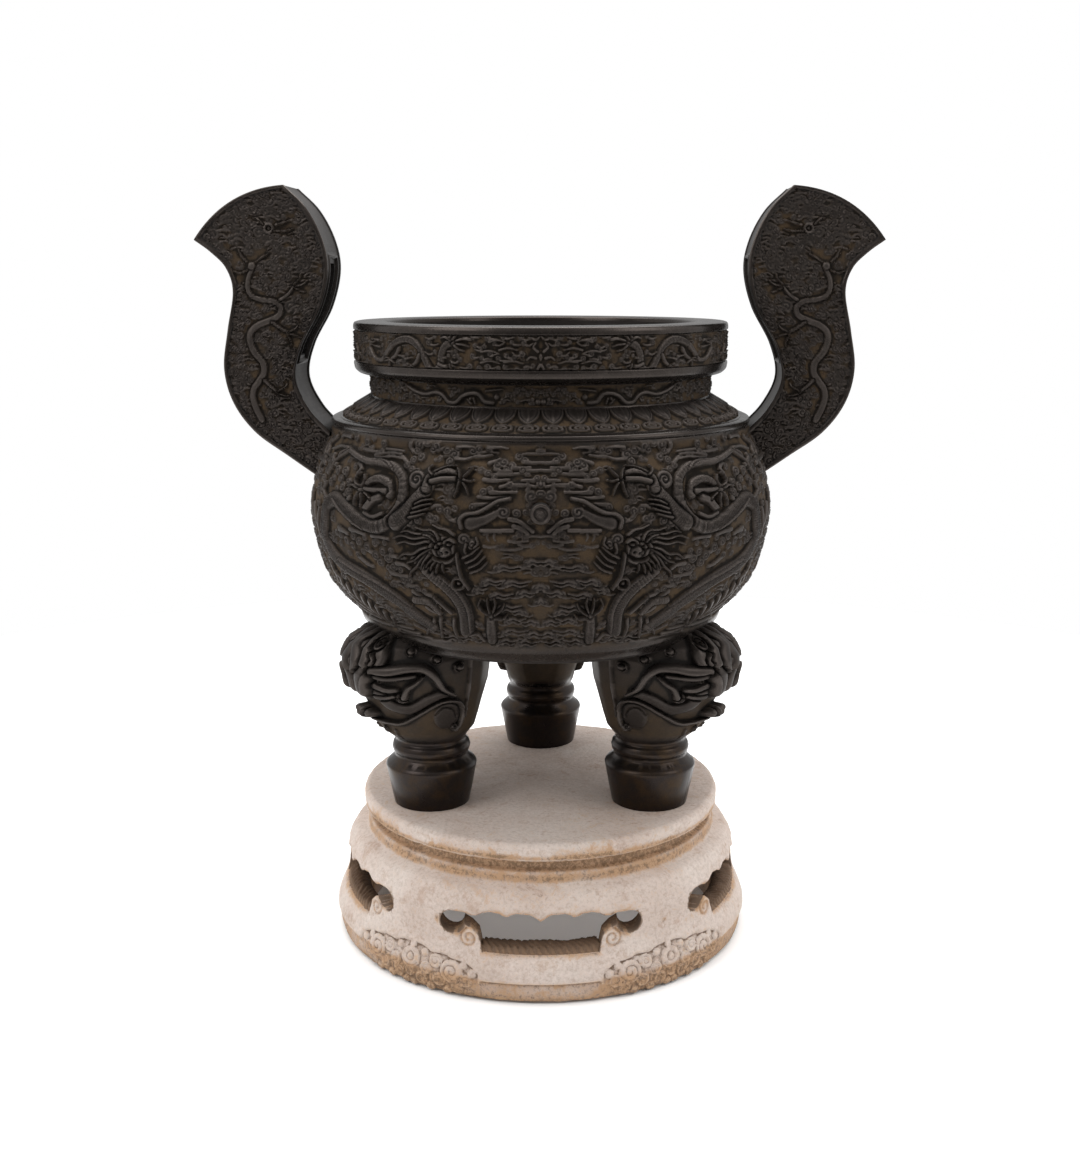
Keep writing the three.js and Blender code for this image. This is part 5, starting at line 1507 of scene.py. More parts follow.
def make_collar():
    collar_zone("collar_shoulder", 1239.3, 1281, 52000)
    collar_zone("collar_neck", 1286.5, 1329.5, 36000)
    collar_zone("collar_rim", 1364.2, 1431.8, 53000)
    # the smooth mouldings between them
    co, tris = [], []
    nph = 360
    phis = np.linspace(0, 2 * math.pi, nph, endpoint=False)
    P, s = COLLAR.p, COLLAR.s
    d = np.diff(P, axis=0); ang = np.unwrap(np.arctan2(d[:, 1], d[:, 0]))
    bend = np.concatenate([[1], np.abs(np.diff(ang)), [1]])
    for va, vb in ((0.0, collar_v(1239.3)), (collar_v(1281), collar_v(1286.5)), (collar_v(1329.5), collar_v(1364.2)), (collar_v(1431.8), COLLAR.len)):
        keep = s[(s > va + 0.4) & (s < vb - 0.4) & (bend > 0.012)]
        rows = np.unique(np.concatenate([[va, vb], keep, np.linspace(va, vb, max(3, int((vb - va) / 9)))]))
        r, z = COLLAR.at(rows)[:2]
        A, R = np.meshgrid(phis, r); _, Z = np.meshgrid(phis, z)
        base = sum(len(c) for c in co)
        co.append(np.stack([R * np.sin(A), -R * np.cos(A), Z], -1).reshape(-1, 3))
        tris.append(grid_tris(len(rows), nph, wrap_c=True) + base)
    co = np.vstack(co)
    n = len(co)
    rel = 0.52 + 0.14 * smoothstep(424, 429, np.hypot(co[:, 0], co[:, 1])) * (co[:, 2] > 1335)
    me = make_mesh("collar_mouldings", co * MM, np.vstack(tris), {"relief": rel, "ground": np.zeros(n), "polish": np.ones(n)})
    ob = add_object("collar_mouldings", me)
    print("mouldings", len(me.polygons))
    ob.data.set_sharp_from_angle(angle=math.radians(50))
    finish_piece(ob, M_BRONZE, "ding_vessel")


def make_shells():
    """The smooth inside of the bowl and its plain underside."""
    inner = Profile(rounded([(351, 1440), (351, 1292), (410, 1246), (474, 1178), (508, 1104), (520, 1038), (518, 985), (501, 916), (461, 842), (408, 788), (330, 760), (60, 744), (0.5, 743)], 22, 8), 3)
    rows = np.linspace(0, inner.len, 76)
    phis = np.linspace(0, 2 * math.pi, 108, endpoint=False)
    nz = value_noise((76, 108), 8, 21)

    def d(ph, v, r, z):
        return -(0.6 * nz) * smoothstep(0, 30, v) * smoothstep(5, 60, r)
    ob = lathe("bowl_inside", inner, rows, phis, d)
    finish_piece(ob, M_INSIDE, "ding_vessel")
    under = Profile(rounded([(0.5, 712), (220, 716), (340, 726), (392, 740), (402, 745), (405, 748)], 5, 4), 4)
    ob = lathe("bowl_underside", under, np.linspace(0, under.len, 26), phis, None)
    finish_piece(ob, M_INSIDE, "ding_vessel")


# ------------------------------------------------------------------ legs
LEG_DEPTH = [(343, 88), (352, 90), (430, 105), (437, 106), (443, 102), (458, 85), (466, 85), (470, 89), (480, 91), (490, 88), (495, 82), (503, 81), (512, 90),
             (529, 112), (557, 122), (590, 133), (642, 156), (684, 165), (715, 164), (745, 152), (772, 128), (795, 92)]
LEG_WIDTH = [(343, 88), (352, 90), (430, 105), (437, 106), (443, 102), (458, 85), (466, 85), (470, 89), (480, 91), (490, 88), (495, 82), (503, 81), (512, 86),
             (529, 98), (557, 111), (590, 124), (642, 143), (684, 152), (715, 152), (745, 142), (772, 118), (795, 84)]
LEG_CENTRE = [(343, 0), (503, 0), (529, 8), (590, 14), (642, 22), (684, 26), (745, 20), (795, 0)]


def gb(x, w):
    return np.exp(-(x * x) / (w * w))


LS = 130.0
mask_cv = Canvas(-40, math.pi * LS + 10, 500, 800, CELL)


def leg_put(a, z):
    return (math.radians(a) * LS, float(z))


mask_cv.draw(LEG_ART, leg_put, 3)
mu, mv = mask_cv.grid()
mask_cv.h = mask_cv.h + 0.3 * value_noise(mask_cv.h.shape, 14 / CELL, 8)
mask_cav = mask_cv.cavity(10)


def mask_low(s, z):
    """Broad volumes of the beast mask."""
    d = 10 * gb(s, 0.30) * gb(z - 566, 24)
    d = d + 7 * gb(s - 0.6, 0.6) * gb(z - (592 + 26 * s), 20)
    d = d + 4 * gb(z - (632 + 14 * np.sin(1.6 * s)), 22) * gb(s - 0.6, 0.8)
    return d


def make_leg(name, angle, share):
    step = 2.2 / share
    zs = np.unique(np.concatenate([np.arange(343.3, 790, step * (0.85)), [343.3, 345, 350, 436, 438, 441, 444, 458, 461, 466, 468, 471, 488, 491, 494, 497, 503, 790]]))
    keep = [0]
    for i in range(1, len(zs)):
        if zs[i] - zs[keep[-1]] > 0.9:
            keep.append(i)
    zs = zs[keep]
    aa = np.linspace(0, 2 * math.pi, int(780 / step), endpoint=False)
    A, Z = np.meshgrid(aa, zs)
    S = np.abs((A + math.pi) % (2 * math.pi) - math.pi)
    deep, wide, cen = station(LEG_DEPTH, Z), station(LEG_WIDTH, Z), station(LEG_CENTRE, Z)
    fade = np.clip((Z - 512) / 18, 0, 1) * np.clip((792 - Z) / 30, 0, 1)
    inner_side = smoothstep(2.25, 2.0, S)
    rel = (1.75 * mask_cv.sample(mask_cv.h, S * LS, Z) - 8.0) * fade * inner_side
    grow = mask_low(S, Z) * fade * inner_side + rel
    u = cen + (deep + grow) * np.cos(A); w = (wide + grow) * np.sin(A)
    flat = np.where(Z > 516, cen - deep * 0.93, -1e9)
    u = np.maximum(u, flat)
    nz = value_noise(A.shape, 20, 40 + int(angle))
    nrm = np.hypot(u, w)
    u = u + 0.35 * nz * u / nrm; w = w + 0.35 * nz * w / nrm
    t = math.radians(angle)
    X = (296 + u) * math.cos(t) - w * math.sin(t); Y = (296 + u) * math.sin(t) + w * math.cos(t)
    # the top of the leg ends inside the thickness of the bowl's floor
    Zc = np.minimum(Z, np.interp(np.hypot(X, Y), [0, 60, 330, 408, 461, 501], [729, 730, 746, 774, 828, 902]))
    co = np.stack([X, Y, Zc], -1).reshape(-1, 3) * MM
    nr, nc = A.shape
    tris = grid_tris(nr, nc, wrap_c=True)
    co = np.vstack([co, [[296 * math.cos(t) * MM, 296 * math.sin(t) * MM, zs[0] * MM]]])
    k = len(co) - 1
    i = np.arange(nc)
    tris = np.vstack([tris, np.stack([(i + 1) % nc, i, np.full(nc, k)], 1)])
    cav = np.append((mask_cv.sample(mask_cav, S * LS, Z) * inner_side * fade + 0.5 * (1 - inner_side * fade)).ravel(), 0.5)
    bare = np.append((0.75 * (1 - smoothstep(0.5, 3.0, mask_cv.sample(mask_cv.h, S * LS, Z))) * fade * smoothstep(760, 560, Z)).ravel(), 0)
    gloss = np.append((0.55 * (1 - inner_side) + smoothstep(530, 500, Z)).ravel(), 1)
    me = make_mesh(name, co, tris, {"relief": cav, "ground": bare, "polish": np.clip(gloss, 0, 1)})
    ob = add_object(name, me)
    n = len(me.polygons)
    goal = 50000 * share ** 1.6
    if n > goal:
        decimate(ob, goal / n)
    print(name, n, "->", len(ob.data.polygons))
    ob.data.set_sharp_from_angle(angle=math.radians(60))
    finish_piece(ob, M_BRONZE, "ding_vessel")
    ob.data.materials.append(M_FOOT)
    co, tr, at = get_arrays(ob.data)
    zc = np.zeros(len(ob.data.polygons) * 3, np.float32); ob.data.polygons.foreach_get("center", zc)
    ob.data.polygons.foreach_set("material_index", (zc[2::3] < 0.507).astype(np.int32))


# ------------------------------------------------------------------ ears
EAR_INNER = [(476, 1203), (523, 1255), (552, 1322), (536, 1396), (491, 1480), (470, 1563), (480, 1631), (514, 1698), (563, 1747)]
EAR_OUTER = [(505, 1098), (575, 1147), (649, 1201), (697, 1268), (715, 1345), (703, 1430), (687, 1515), (700, 1567), (733, 1602), (770, 1629)]
ear_cv = Canvas(460, 780, 1090, 1755, CELL)
ear_cover = Canvas(460, 780, 1090, 1755, CELL)
ear_cover.draw(EAR_ART, lambda u, z: (float(u), float(z)))
ear_cv.used = ear_cover.used.copy()
ear_cv.fill_clouds(520, 7.5, 14.0, 3.6, 31, None, 0.66)
ear_cv.used[:] = 0
ear_cv.draw(EAR_ART, lambda u, z: (float(u), float(z)))
ear_cv.h = np.clip(ear_cv.h * 1.45, 0, 6.2)
ear_cav = ear_cv.cavity(8, 5.0)
ear_flat = 1 - smoothstep(0.6, 1.8, ear_cv.h)


def resample(P, n):
    s = np.concatenate([[0], np.cumsum(np.hypot(*np.diff(P, axis=0).T))])
    t = np.linspace(0, s[-1], n)
    return np.stack([np.interp(t, s, P[:, 0]), np.interp(t, s, P[:, 1])], 1)


def make_ear(name, side):
    step = 2.1
    nt = int(640 / step)
    I, O = resample(spline(EAR_INNER, 3), nt), resample(spline(EAR_OUTER, 3), nt)
    tt = np.linspace(0, 1, nt)
    # widths of the loop: front face across, outer edge, back face, inner edge
    nf, ne = int(190 / step), int(150 / (step * 1.5))
    sf = np.linspace(0, 1, nf)
    Lc = np.hypot(*(O - I).T)

    def at(s, t_idx):
        bow = 29 * smoothstep(0.72, 1.0, tt[t_idx])
        n = np.stack([-(O - I)[t_idx, 1], (O - I)[t_idx, 0]], 1) / Lc[t_idx][:, None]
        base = I[t_idx] * (1 - s[:, None]) + O[t_idx] * s[:, None]
        return base + n * (bow * 4 * s * (1 - s))[:, None]
    arc_top = np.cumsum(np.concatenate([[0], np.hypot(*np.diff(0.5 * (I + O), axis=0).T)]))
    arc_top = arc_top[-1] - arc_top
    k = np.arange(nt)

    def face(sarr, ysign):
        co = []; cv = []
        for s in sarr:
            p = at(np.full(nt, s), k)
            d = np.minimum(np.minimum(s, 1 - s) * Lc, arc_top + 2)
            inside = smoothstep(9.0, 11.5, d)
            edge = 2.2 * (1 - smoothstep(0, 3.0, d))
            hh = ear_cv.sample(ear_cv.h, p[:, 0], p[:, 1])
            y = 77 - 5.6 * inside + hh * inside - edge
            # relief: the carving's cavity on the field, the frame lighter as worn, and a band of painted shade where
            # the field meets the frame
            c = ear_cv.sample(ear_cav, p[:, 0], p[:, 1]) * inside + 0.72 * (1 - inside) - 0.35 * gb(d - 11.5, 2.5)
            co.append(np.stack([p[:, 0], ysign * y, p[:, 1]], 1))
            cv.append(np.stack([c, ear_cv.sample(ear_flat, p[:, 0], p[:, 1]) * inside, 0.8 * (1 - inside)], 1))
        return co, cv

    def edge_face(curve, other, ys, outward):
        co = []; cv = []
        tang = np.gradient(curve, axis=0); tang /= np.hypot(*tang.T)[:, None]
        n = np.stack([tang[:, 1], -tang[:, 0]], 1)
        if np.mean(((curve - other) * n).sum(1)) < 0:
            n = -n
        for y in ys:
            a = 77 - abs(y)
            fr = smoothstep(9, 11, a)
            z = curve[:, 1]
            slot = np.maximum(np.abs(y) - 28 - 13, np.maximum(1374 - 12 - z, z - 1578 - 12))
            step_in = smoothstep(1.5, -1.5, slot)
            dep = 3.2 * fr * (1 - smoothstep(4, 0, np.abs(slot - 6)) * 0.0) + 3.2 * step_in
            lip = 3.2 * fr * smoothstep(9, 7, slot) * smoothstep(-1, 1, slot)
            dep = dep - lip
            p = curve - n * dep[:, None]
            co.append(np.stack([p[:, 0], np.full(nt, y), p[:, 1]], 1))
            # relief of the edge faces: painted shade along the step at the frame and round the edge of the slot
            cv.append(np.stack([0.55 - 0.25 * gb(a - 10, 3) - 0.2 * gb(slot, 3) + 0 * z, 0 * z, 0.7 + 0 * z], 1))
        return co, cv
    f_co, f_cv = face(sf, -1)                                   # front, inner -> outer edge
    ys = np.linspace(-77, 77, ne)
    ys = np.unique(np.concatenate([ys, [-75, -68, -66.5, -65, -42, -40.5, 40.5, 42, 65, 66.5, 68, 75]]))[1:-1]
    o_co, o_cv = edge_face(O, I, ys, 1)
    b_co, b_cv = face(sf[::-1], 1)
    i_co, i_cv = edge_face(I, O, ys[::-1], -1)
    loop = f_co + o_co + b_co + i_co
    cav = f_cv + o_cv + b_cv + i_cv
    G = np.stack(loop, 1)                                        # (nt, nloop, 3)
    C = np.stack(cav, 1)
    nl = G.shape[1]
    # close both ends with a strip grid between the front and the back face
    tris = grid_tris(nt, nl, wrap_c=True)
    co = G.reshape(-1, 3); cv = C.reshape(-1, 3)
    nfl = len(f_co)

    def cap(row, flip):
        nonlocal co, cv, tris
        base = row * nl
        front = base + np.arange(nfl)
        outer = base + nfl + np.arange(len(o_co))
        back = base + nfl + len(o_co) + np.arange(nfl)[::-1]
        inner = base + nfl + len(o_co) + nfl + np.arange(len(i_co))[::-1]
        m = len(o_co)
        rows = [front]
        for q in range(m):
            f = (ys[q] + 77) / 154
            y = ys[q]
            a = 77 - abs(y)
            mid = []
            P0, P1 = co[front[0]], co[front[-1]]
            pts = co[front].copy()
            pts[:, 1] = y
            new = len(co) + np.arange(nfl - 2)
            co = np.vstack([co, pts[1:-1]]); cv = np.vstack([cv, np.tile([0.55, 0.0, 0.7], (nfl - 2, 1))])
            rows.append(np.concatenate([[inner[q]], new, [outer[q]]]))
        rows.append(back)
        T = []
        for r0, r1 in zip(rows[:-1], rows[1:]):
            a, b, c, d = r0[:-1], r0[1:], r1[1:], r1[:-1]
            T.append(np.stack([a, b, c], 1)); T.append(np.stack([a, c, d], 1))
        T = np.vstack(T)
        tris = np.vstack([tris, T if not flip else T[:, ::-1]])
    cap(nt - 1, False)
    cap(0, True)
    # outward winding
    f = co[tris]
    vol = np.einsum("ij,ij->i", f[:, 0], np.cross(f[:, 1], f[:, 2])).sum()
    if vol < 0:
        tris = tris[:, ::-1]
    a = math.radians(-3.4)
    x, y = co[:, 0] - 600, co[:, 1]
    X, Y = 600 + x * math.cos(a) - y * math.sin(a), x * math.sin(a) + y * math.cos(a)
    if side < 0:
        X, Y = -X, -Y
    W = np.stack([X, Y, co[:, 2]], 1) * MM
    me = make_mesh(name, W, tris, {"relief": cv[:, 0], "ground": cv[:, 1], "polish": cv[:, 2]})
    ob = add_object(name, me)
    # through slot
    lo, hi = (-300, 300), None
    bx = np.array([[sx * 250, sy * 28, z] for sx in (-1, 1) for sy in (-1, 1) for z in (1374, 1578)], float)
    bt = np.array([[0, 1, 3], [0, 3, 2], [4, 6, 7], [4, 7, 5], [0, 4, 5], [0, 5, 1], [2, 3, 7], [2, 7, 6], [0, 2, 6], [0, 6, 4], [1, 5, 7], [1, 7, 3]])
    X, Y = 600 + bx[:, 0] * math.cos(a) - bx[:, 1] * math.sin(a), bx[:, 0] * math.sin(a) + bx[:, 1] * math.cos(a)
    if side < 0:
        X, Y = -X, -Y
    bw = np.stack([X, Y, bx[:, 2]], 1) * MM
    # the slot walls get a slightly low relief: painted shade inside the slot
    cut = add_object("cut", make_mesh("cut", bw, bt, {"relief": np.full(8, 0.4), "ground": np.zeros(8), "polish": np.full(8, 0.3)}))
    f = bw[bt]
    if np.einsum("ij,ij->i", f[:, 0] - bw.mean(0), np.cross(f[:, 1] - bw.mean(0), f[:, 2] - bw.mean(0))).sum() < 0:
        cut.data.flip_normals()
    m = ob.modifiers.new("b", "BOOLEAN"); m.operation = "DIFFERENCE"; m.object = cut; m.solver = SOLVER
    baked(ob, name)
    bpy.data.objects.remove(cut)
    n = len(ob.data.polygons)
    if n > 75000:
        decimate(ob, 75000 / n)
    print(name, n, "->", len(ob.data.polygons))
    ob.data.set_sharp_from_angle(angle=math.radians(48))
    finish_piece(ob, M_BRONZE, "ding_vessel")


SOLVER = "MANIFOLD"


# ------------------------------------------------------------------ pearl bosses
def make_boss(name, side):
    prof = [(21, -18), (21, 1.5), (20, 4.4), (17.5, 5.6), (15, 4.6), (13.2, 2.2), (12.2, 1.8), (9, 3.4), (5, 4.6), (0.2, 5.0)]
    P = np.array(rounded(prof, 1.2, 4))
    n = 72
    a = np.linspace(0, 2 * math.pi, n, endpoint=False)
    A, R = np.meshgrid(a, P[:, 0]); _, Hh = np.meshgrid(a, P[:, 1])
    tw = 0.9 * np.cos(2 * A - R * 0.75) * ((R < 12) & (R > 1.5))
    X = R * np.cos(A); Z = 1089 + R * np.sin(A); Y = -(541.0 + Hh + tw)
    if side < 0:
        X, Y = -X, -Y
    co = np.stack([X, Y, Z], -1).reshape(-1, 3) * MM
    tris = grid_tris(len(P), n, wrap_c=True)
    k = len(P) * n
    co = np.vstack([co, co[-n:].mean(0)])
    i = np.arange(n)
    tris = np.vstack([tris, np.stack([(len(P) - 1) * n + i, (len(P) - 1) * n + (i + 1) % n, np.full(n, k)], 1)])
    f = co[tris]; c0 = co.mean(0)
    if np.einsum("ij,ij->i", f[:, 0] - c0, np.cross(f[:, 1] - c0, f[:, 2] - c0)).sum() < 0:
        tris = tris[:, ::-1]
    # relief from the height: painted shade low on the boss where it meets the belly and in its groove, the top lighter
    # as worn
    rel = np.append(np.clip(0.45 + (Hh - 2.5) * 0.12, 0, 1).ravel(), 0.7)
    ob = add_object(name, make_mesh(name, co, tris, {"relief": rel}))
    finish_piece(ob, M_PLAIN, "ding_vessel")


# ------------------------------------------------------------------ marble plinth
PL_OUT = rounded([(380, 0.5), (496, 0.5), (499.5, 6), (502, 24), (502.5, 54), (494, 80), (481, 106), (475, 130), (477, 184), (469, 214), (453, 239), (424, 251),
                  (422, 263), (418, 274), (405, 279), (405, 296), (428, 304), (430, 310), (430, 334), (421, 342.6), (300, 342.6)], [0, 3, 4, 6, 10, 10, 5, 10, 16, 12, 8, 4, 3, 3, 3, 4, 2, 3, 6, 5, 0], 5)
PLP = Profile(PL_OUT, 2.0)
PR = 480.0
SECT = 2 * math.pi / 5


def plinth_fold(phi):
    """Angle within one of the five bays, mirrored: 0 at the middle of an opening, +36 deg at a pillar."""
    p = (phi + SECT / 2) % SECT - SECT / 2
    return np.abs(p)


OPEN_HALF = [(0, 107), (60, 107), (128, 107), (131, 124), (135, 142), (150, 156), (168, 165)]
for _i in range(1, 12):
    _a = math.pi + (_i / 12) * math.pi * 1.5
    OPEN_HALF.append((195 + 27 * math.cos(_a), 165 + 27 * math.sin(_a)))
OPEN_HALF += [(168, 191), (154, 187), (140, 188), (128, 195), (112, 199), (92, 197), (80, 192), (72, 191), (64, 196), (52, 199), (36, 198), (22, 197), (10, 190), (0, 184)]
plin = Canvas(-10, SECT / 2 * PR + 12, 0, PLP.len, 1.6)


def plinth_v(z):
    z_ = np.maximum.accumulate(PLP.p[:, 1])
    return float(np.interp(z, z_ + np.arange(len(z_)) * 1e-7, PLP.s))


def plinth_put(a, z):
    return (math.radians(a) * PR, plinth_v(z))


PANEL = [(0, 50), (15.2, 50), (15.6, 42), (17.0, 32), (19.0, 25), (19.6, 14), (19.8, 0)]      # sunk strip at the foot, between the scrolls


def make_plinth_canvas():
    U, V = plin.grid()
    put = plinth_put
    h = plin.h
    # ruyi cloud scrolls on the base ring under each pillar: plates standing in a sunk ground, cut with spiral lines
    zone = Canvas(-10, SECT / 2 * PR + 12, 0, PLP.len, plin.c)
    outline = ((15.4, 4), (15.0, 44), (16.2, 66), (19.5, 84), (23.5, 88), (26.0, 94), (29.5, 92), (33.0, 100), (37.5, 101))
    O = spline([put(a, z) for a, z in outline], 2.0)
    edge_v = np.interp(U, np.maximum.accumulate(O[:, 0]), O[:, 1], left=-99)
    sunk0 = smoothstep(0, 4, edge_v - V) * smoothstep(put(15.4, 5)[0], put(16.4, 5)[0], U)
    for a, z, r, k in ((23.4, 58, 27, 6.0), (19.4, 42, 15, 5.2), (28.2, 74, 16, 5.2), (36, 66, 25, 6.2), (30.9, 52, 15, 5.0), (31.8, 86, 9, 4.8), (36, 94, 9, 4.8), (17.6, 62, 10, 4.6), (20.2, 76, 9, 4.6),
                       (21.6, 22, 15, 5.2), (26.9, 33, 16, 5.2), (32.2, 26, 16, 5.2), (36, 34, 13, 5.0), (24.6, 11, 10, 4.6), (29.4, 10, 11, 4.8), (34.8, 9, 10, 4.8), (18.0, 8, 11, 4.6)):
        zone.disc(put(a, z), r, k, False, 0, 8.0)
    for a, z, r, s in ((23.4, 58, 23, 1), (19.4, 42, 11, -1), (28.2, 74, 12, -1), (36, 66, 21, 1), (30.9, 52, 11, -1), (21.6, 22, 11, 1), (26.9, 33, 12, -1), (32.2, 26, 12, 1), (36, 34, 9, -1)):
        c = put(a, z)
        t_ = np.linspace(0, 1, 34)
        ang = math.radians(200) + s * t_ * 2 * math.pi * 1.5
        rad = r * (1 - 0.86 * t_)
        P = np.stack([c[0] + rad * np.cos(ang), c[1] + rad * np.sin(ang)], 1)
        win, D, S, N, L = zone.near(P, 7)
        zone.h[win] = zone.h[win] - 3.6 * np.exp(-(D / 2.5) ** 2) * (zone.h[win] > 1)
    plin.h = plin.h + (zone.h - 6.4) * sunk0
    # sunk strip
    P = np.array([put(a, max(z, 1.0)) for a, z in PANEL])
    w = np.interp(V, P[::-1, 1], P[::-1, 0], right=-50)
    top = put(0, 50)[1]
    side_d = np.where(V < top, w - U, -50.0)
    dd = np.minimum(side_d, top - V)
    sunk = smoothstep(0, 2.6, dd)
    plin.h = plin.h * (1 - sunk) - 6.0 * sunk
    plin.h = plin.h - 2.4 * np.exp(-((dd + 8.0) / 2.0) ** 2) * (U < put(16, 0)[0])
    # step over the base ring, only in the bays
    e = [put(x / 480.0 * 180 / math.pi, z) for x, z in OPEN_HALF]
    win, D, S, N, L = plin.near(np.array(e), 16)
    dip = np.zeros_like(plin.h)
    dip[win] = 4.0 * np.exp(-(D / 4.0) ** 2)
    plin.h = plin.h - dip
    plin.lip = np.zeros_like(plin.h)
    plin.lip[win] = np.exp(-(D / 5.5) ** 2)
    # spiral cut into each stub
    c = put(19.4, 134)
    t_ = np.linspace(0, 1, 30)
    for r, turns, ph0 in ((24, 1.6, 2.4),):
        ang = ph0 - t_ * 2 * math.pi * turns
        rad = r * (1 - 0.80 * t_)
        P = np.stack([c[0] + rad * np.cos(ang), c[1] + rad * np.sin(ang)], 1)
        win, D, S, N, L = plin.near(P, 6)
        plin.h[win] = plin.h[win] - 4.2 * np.exp(-(D / 2.7) ** 2)
        plin.lip[win] = np.maximum(plin.lip[win], 0.8 * np.exp(-(D / 4.0) ** 2))
    c = put(17.2, 112)
    P = np.array([put(a, z) for a, z in ((15.8, 112), (16.6, 118), (18.2, 116), (18.4, 108), (17.0, 104))])
    win, D, S, N, L = plin.near(spline(P), 6)
    plin.h[win] = plin.h[win] - 1.6 * np.exp(-(D / 1.6) ** 2)
    plin.art = plin.h.copy()
    n1 = value_noise(plin.h.shape, 26 / plin.c, 61, 4); n2 = value_noise(plin.h.shape, 7 / plin.c, 62, 3)
    plin.h = plin.h + 0.9 * n1 + 0.55 * n2


make_plinth_canvas()
_full = plin.h
plin.h = plin.art + 0.35 * (plin.h - plin.art)
plin_cav = plin.cavity(7)
plin.h = _full


def ring_noise(seed, cell, octaves=4):
    """Noise right round the plinth, joined up behind."""
    n = value_noise((160, 640), cell, seed, octaves)
    k = np.linspace(0, 1, 60)
    n[:, -60:] = n[:, -60:] * (1 - k) + n[:, 0][:, None] * k
    return n


STAINS = ring_noise(71, 60), ring_noise(72, 14), ring_noise(73, 26)


def ring_sample(n, ph, z):
    x = (ph % (2 * math.pi)) / (2 * math.pi) * 638.0; y = np.clip(z / 343 * 158, 0, 157.9)
    i, j = x.astype(int), y.astype(int)
    fx, fy = x - i, y - j
    return (n[j, i] * (1 - fx) + n[j, i + 1] * fx) * (1 - fy) + (n[j + 1, i] * (1 - fx) + n[j + 1, i + 1] * fx) * fy


def plinth_stain(ph, v, r, z):
    big, small, mid = (ring_sample(n, ph, z + 0.35 * (503 - r)) for n in STAINS)
    f = np.degrees(plinth_fold(ph))
    low = 0.60 * (1 - smoothstep(30, 62, z + 9 * mid)) + 0.20 * (1 - smoothstep(60, 120, z)) * smoothstep(12, 20, f)
    foot = 0.34 * (1 - smoothstep(2, 16, z)) + 0.22 * np.exp(-((z - 48) / 6) ** 2)
    cove = 0.92 * np.exp(-((z - 287) / 15) ** 4)
    neck = 0.70 * np.exp(-((z - 262) / 11) ** 4)
    brim = 0.72 * np.exp(-((z - 311) / 6) ** 2) + 0.34 * np.exp(-((z - 322) / 14) ** 2) * (mid > 0.0)
    waist = 0.42 * np.exp(-((z - 104) / 7) ** 2) * (f < 16)
    strip = (0.78 - 0.15 * smoothstep(4, 30, z) + 0.2 * smoothstep(40, 48, z)) * (1 - smoothstep(48, 52, z)) * (1 - smoothstep(15.5, 18.5, f))
    lip = 0.60 * plin.sample(plin.lip, plinth_fold(ph) * PR, v) + 0.05
    arris = 0.50 * np.exp(-((z - 303) / 4.0) ** 2)
    s = np.maximum.reduce([low + foot, cove, neck, brim, waist, strip, lip, arris]) + 0.16 * big + 0.13 * small + 0.12 * mid
    s = s + 0.40 * np.exp(-((np.asarray(z) - 316) / 10) ** 2) * np.exp(-((ph - 2 * math.pi * np.round(ph / (2 * math.pi)) + 0.20) / 0.05) ** 2)
    for a0, z0, wa, wz in ((-0.50, 168, 7, 12), (-0.31, 170, 5, 6), (0.62, 150, 8, 5), (1.9, 180, 9, 8), (3.6, 140, 8, 10)):
        d = (np.asarray(ph) - a0 + math.pi) % (2 * math.pi) - math.pi
        s = s + 0.75 * np.exp(-(d * 476 / wa) ** 2 - ((z - z0) / wz) ** 2)
    return np.clip(s, 0, 1.05)


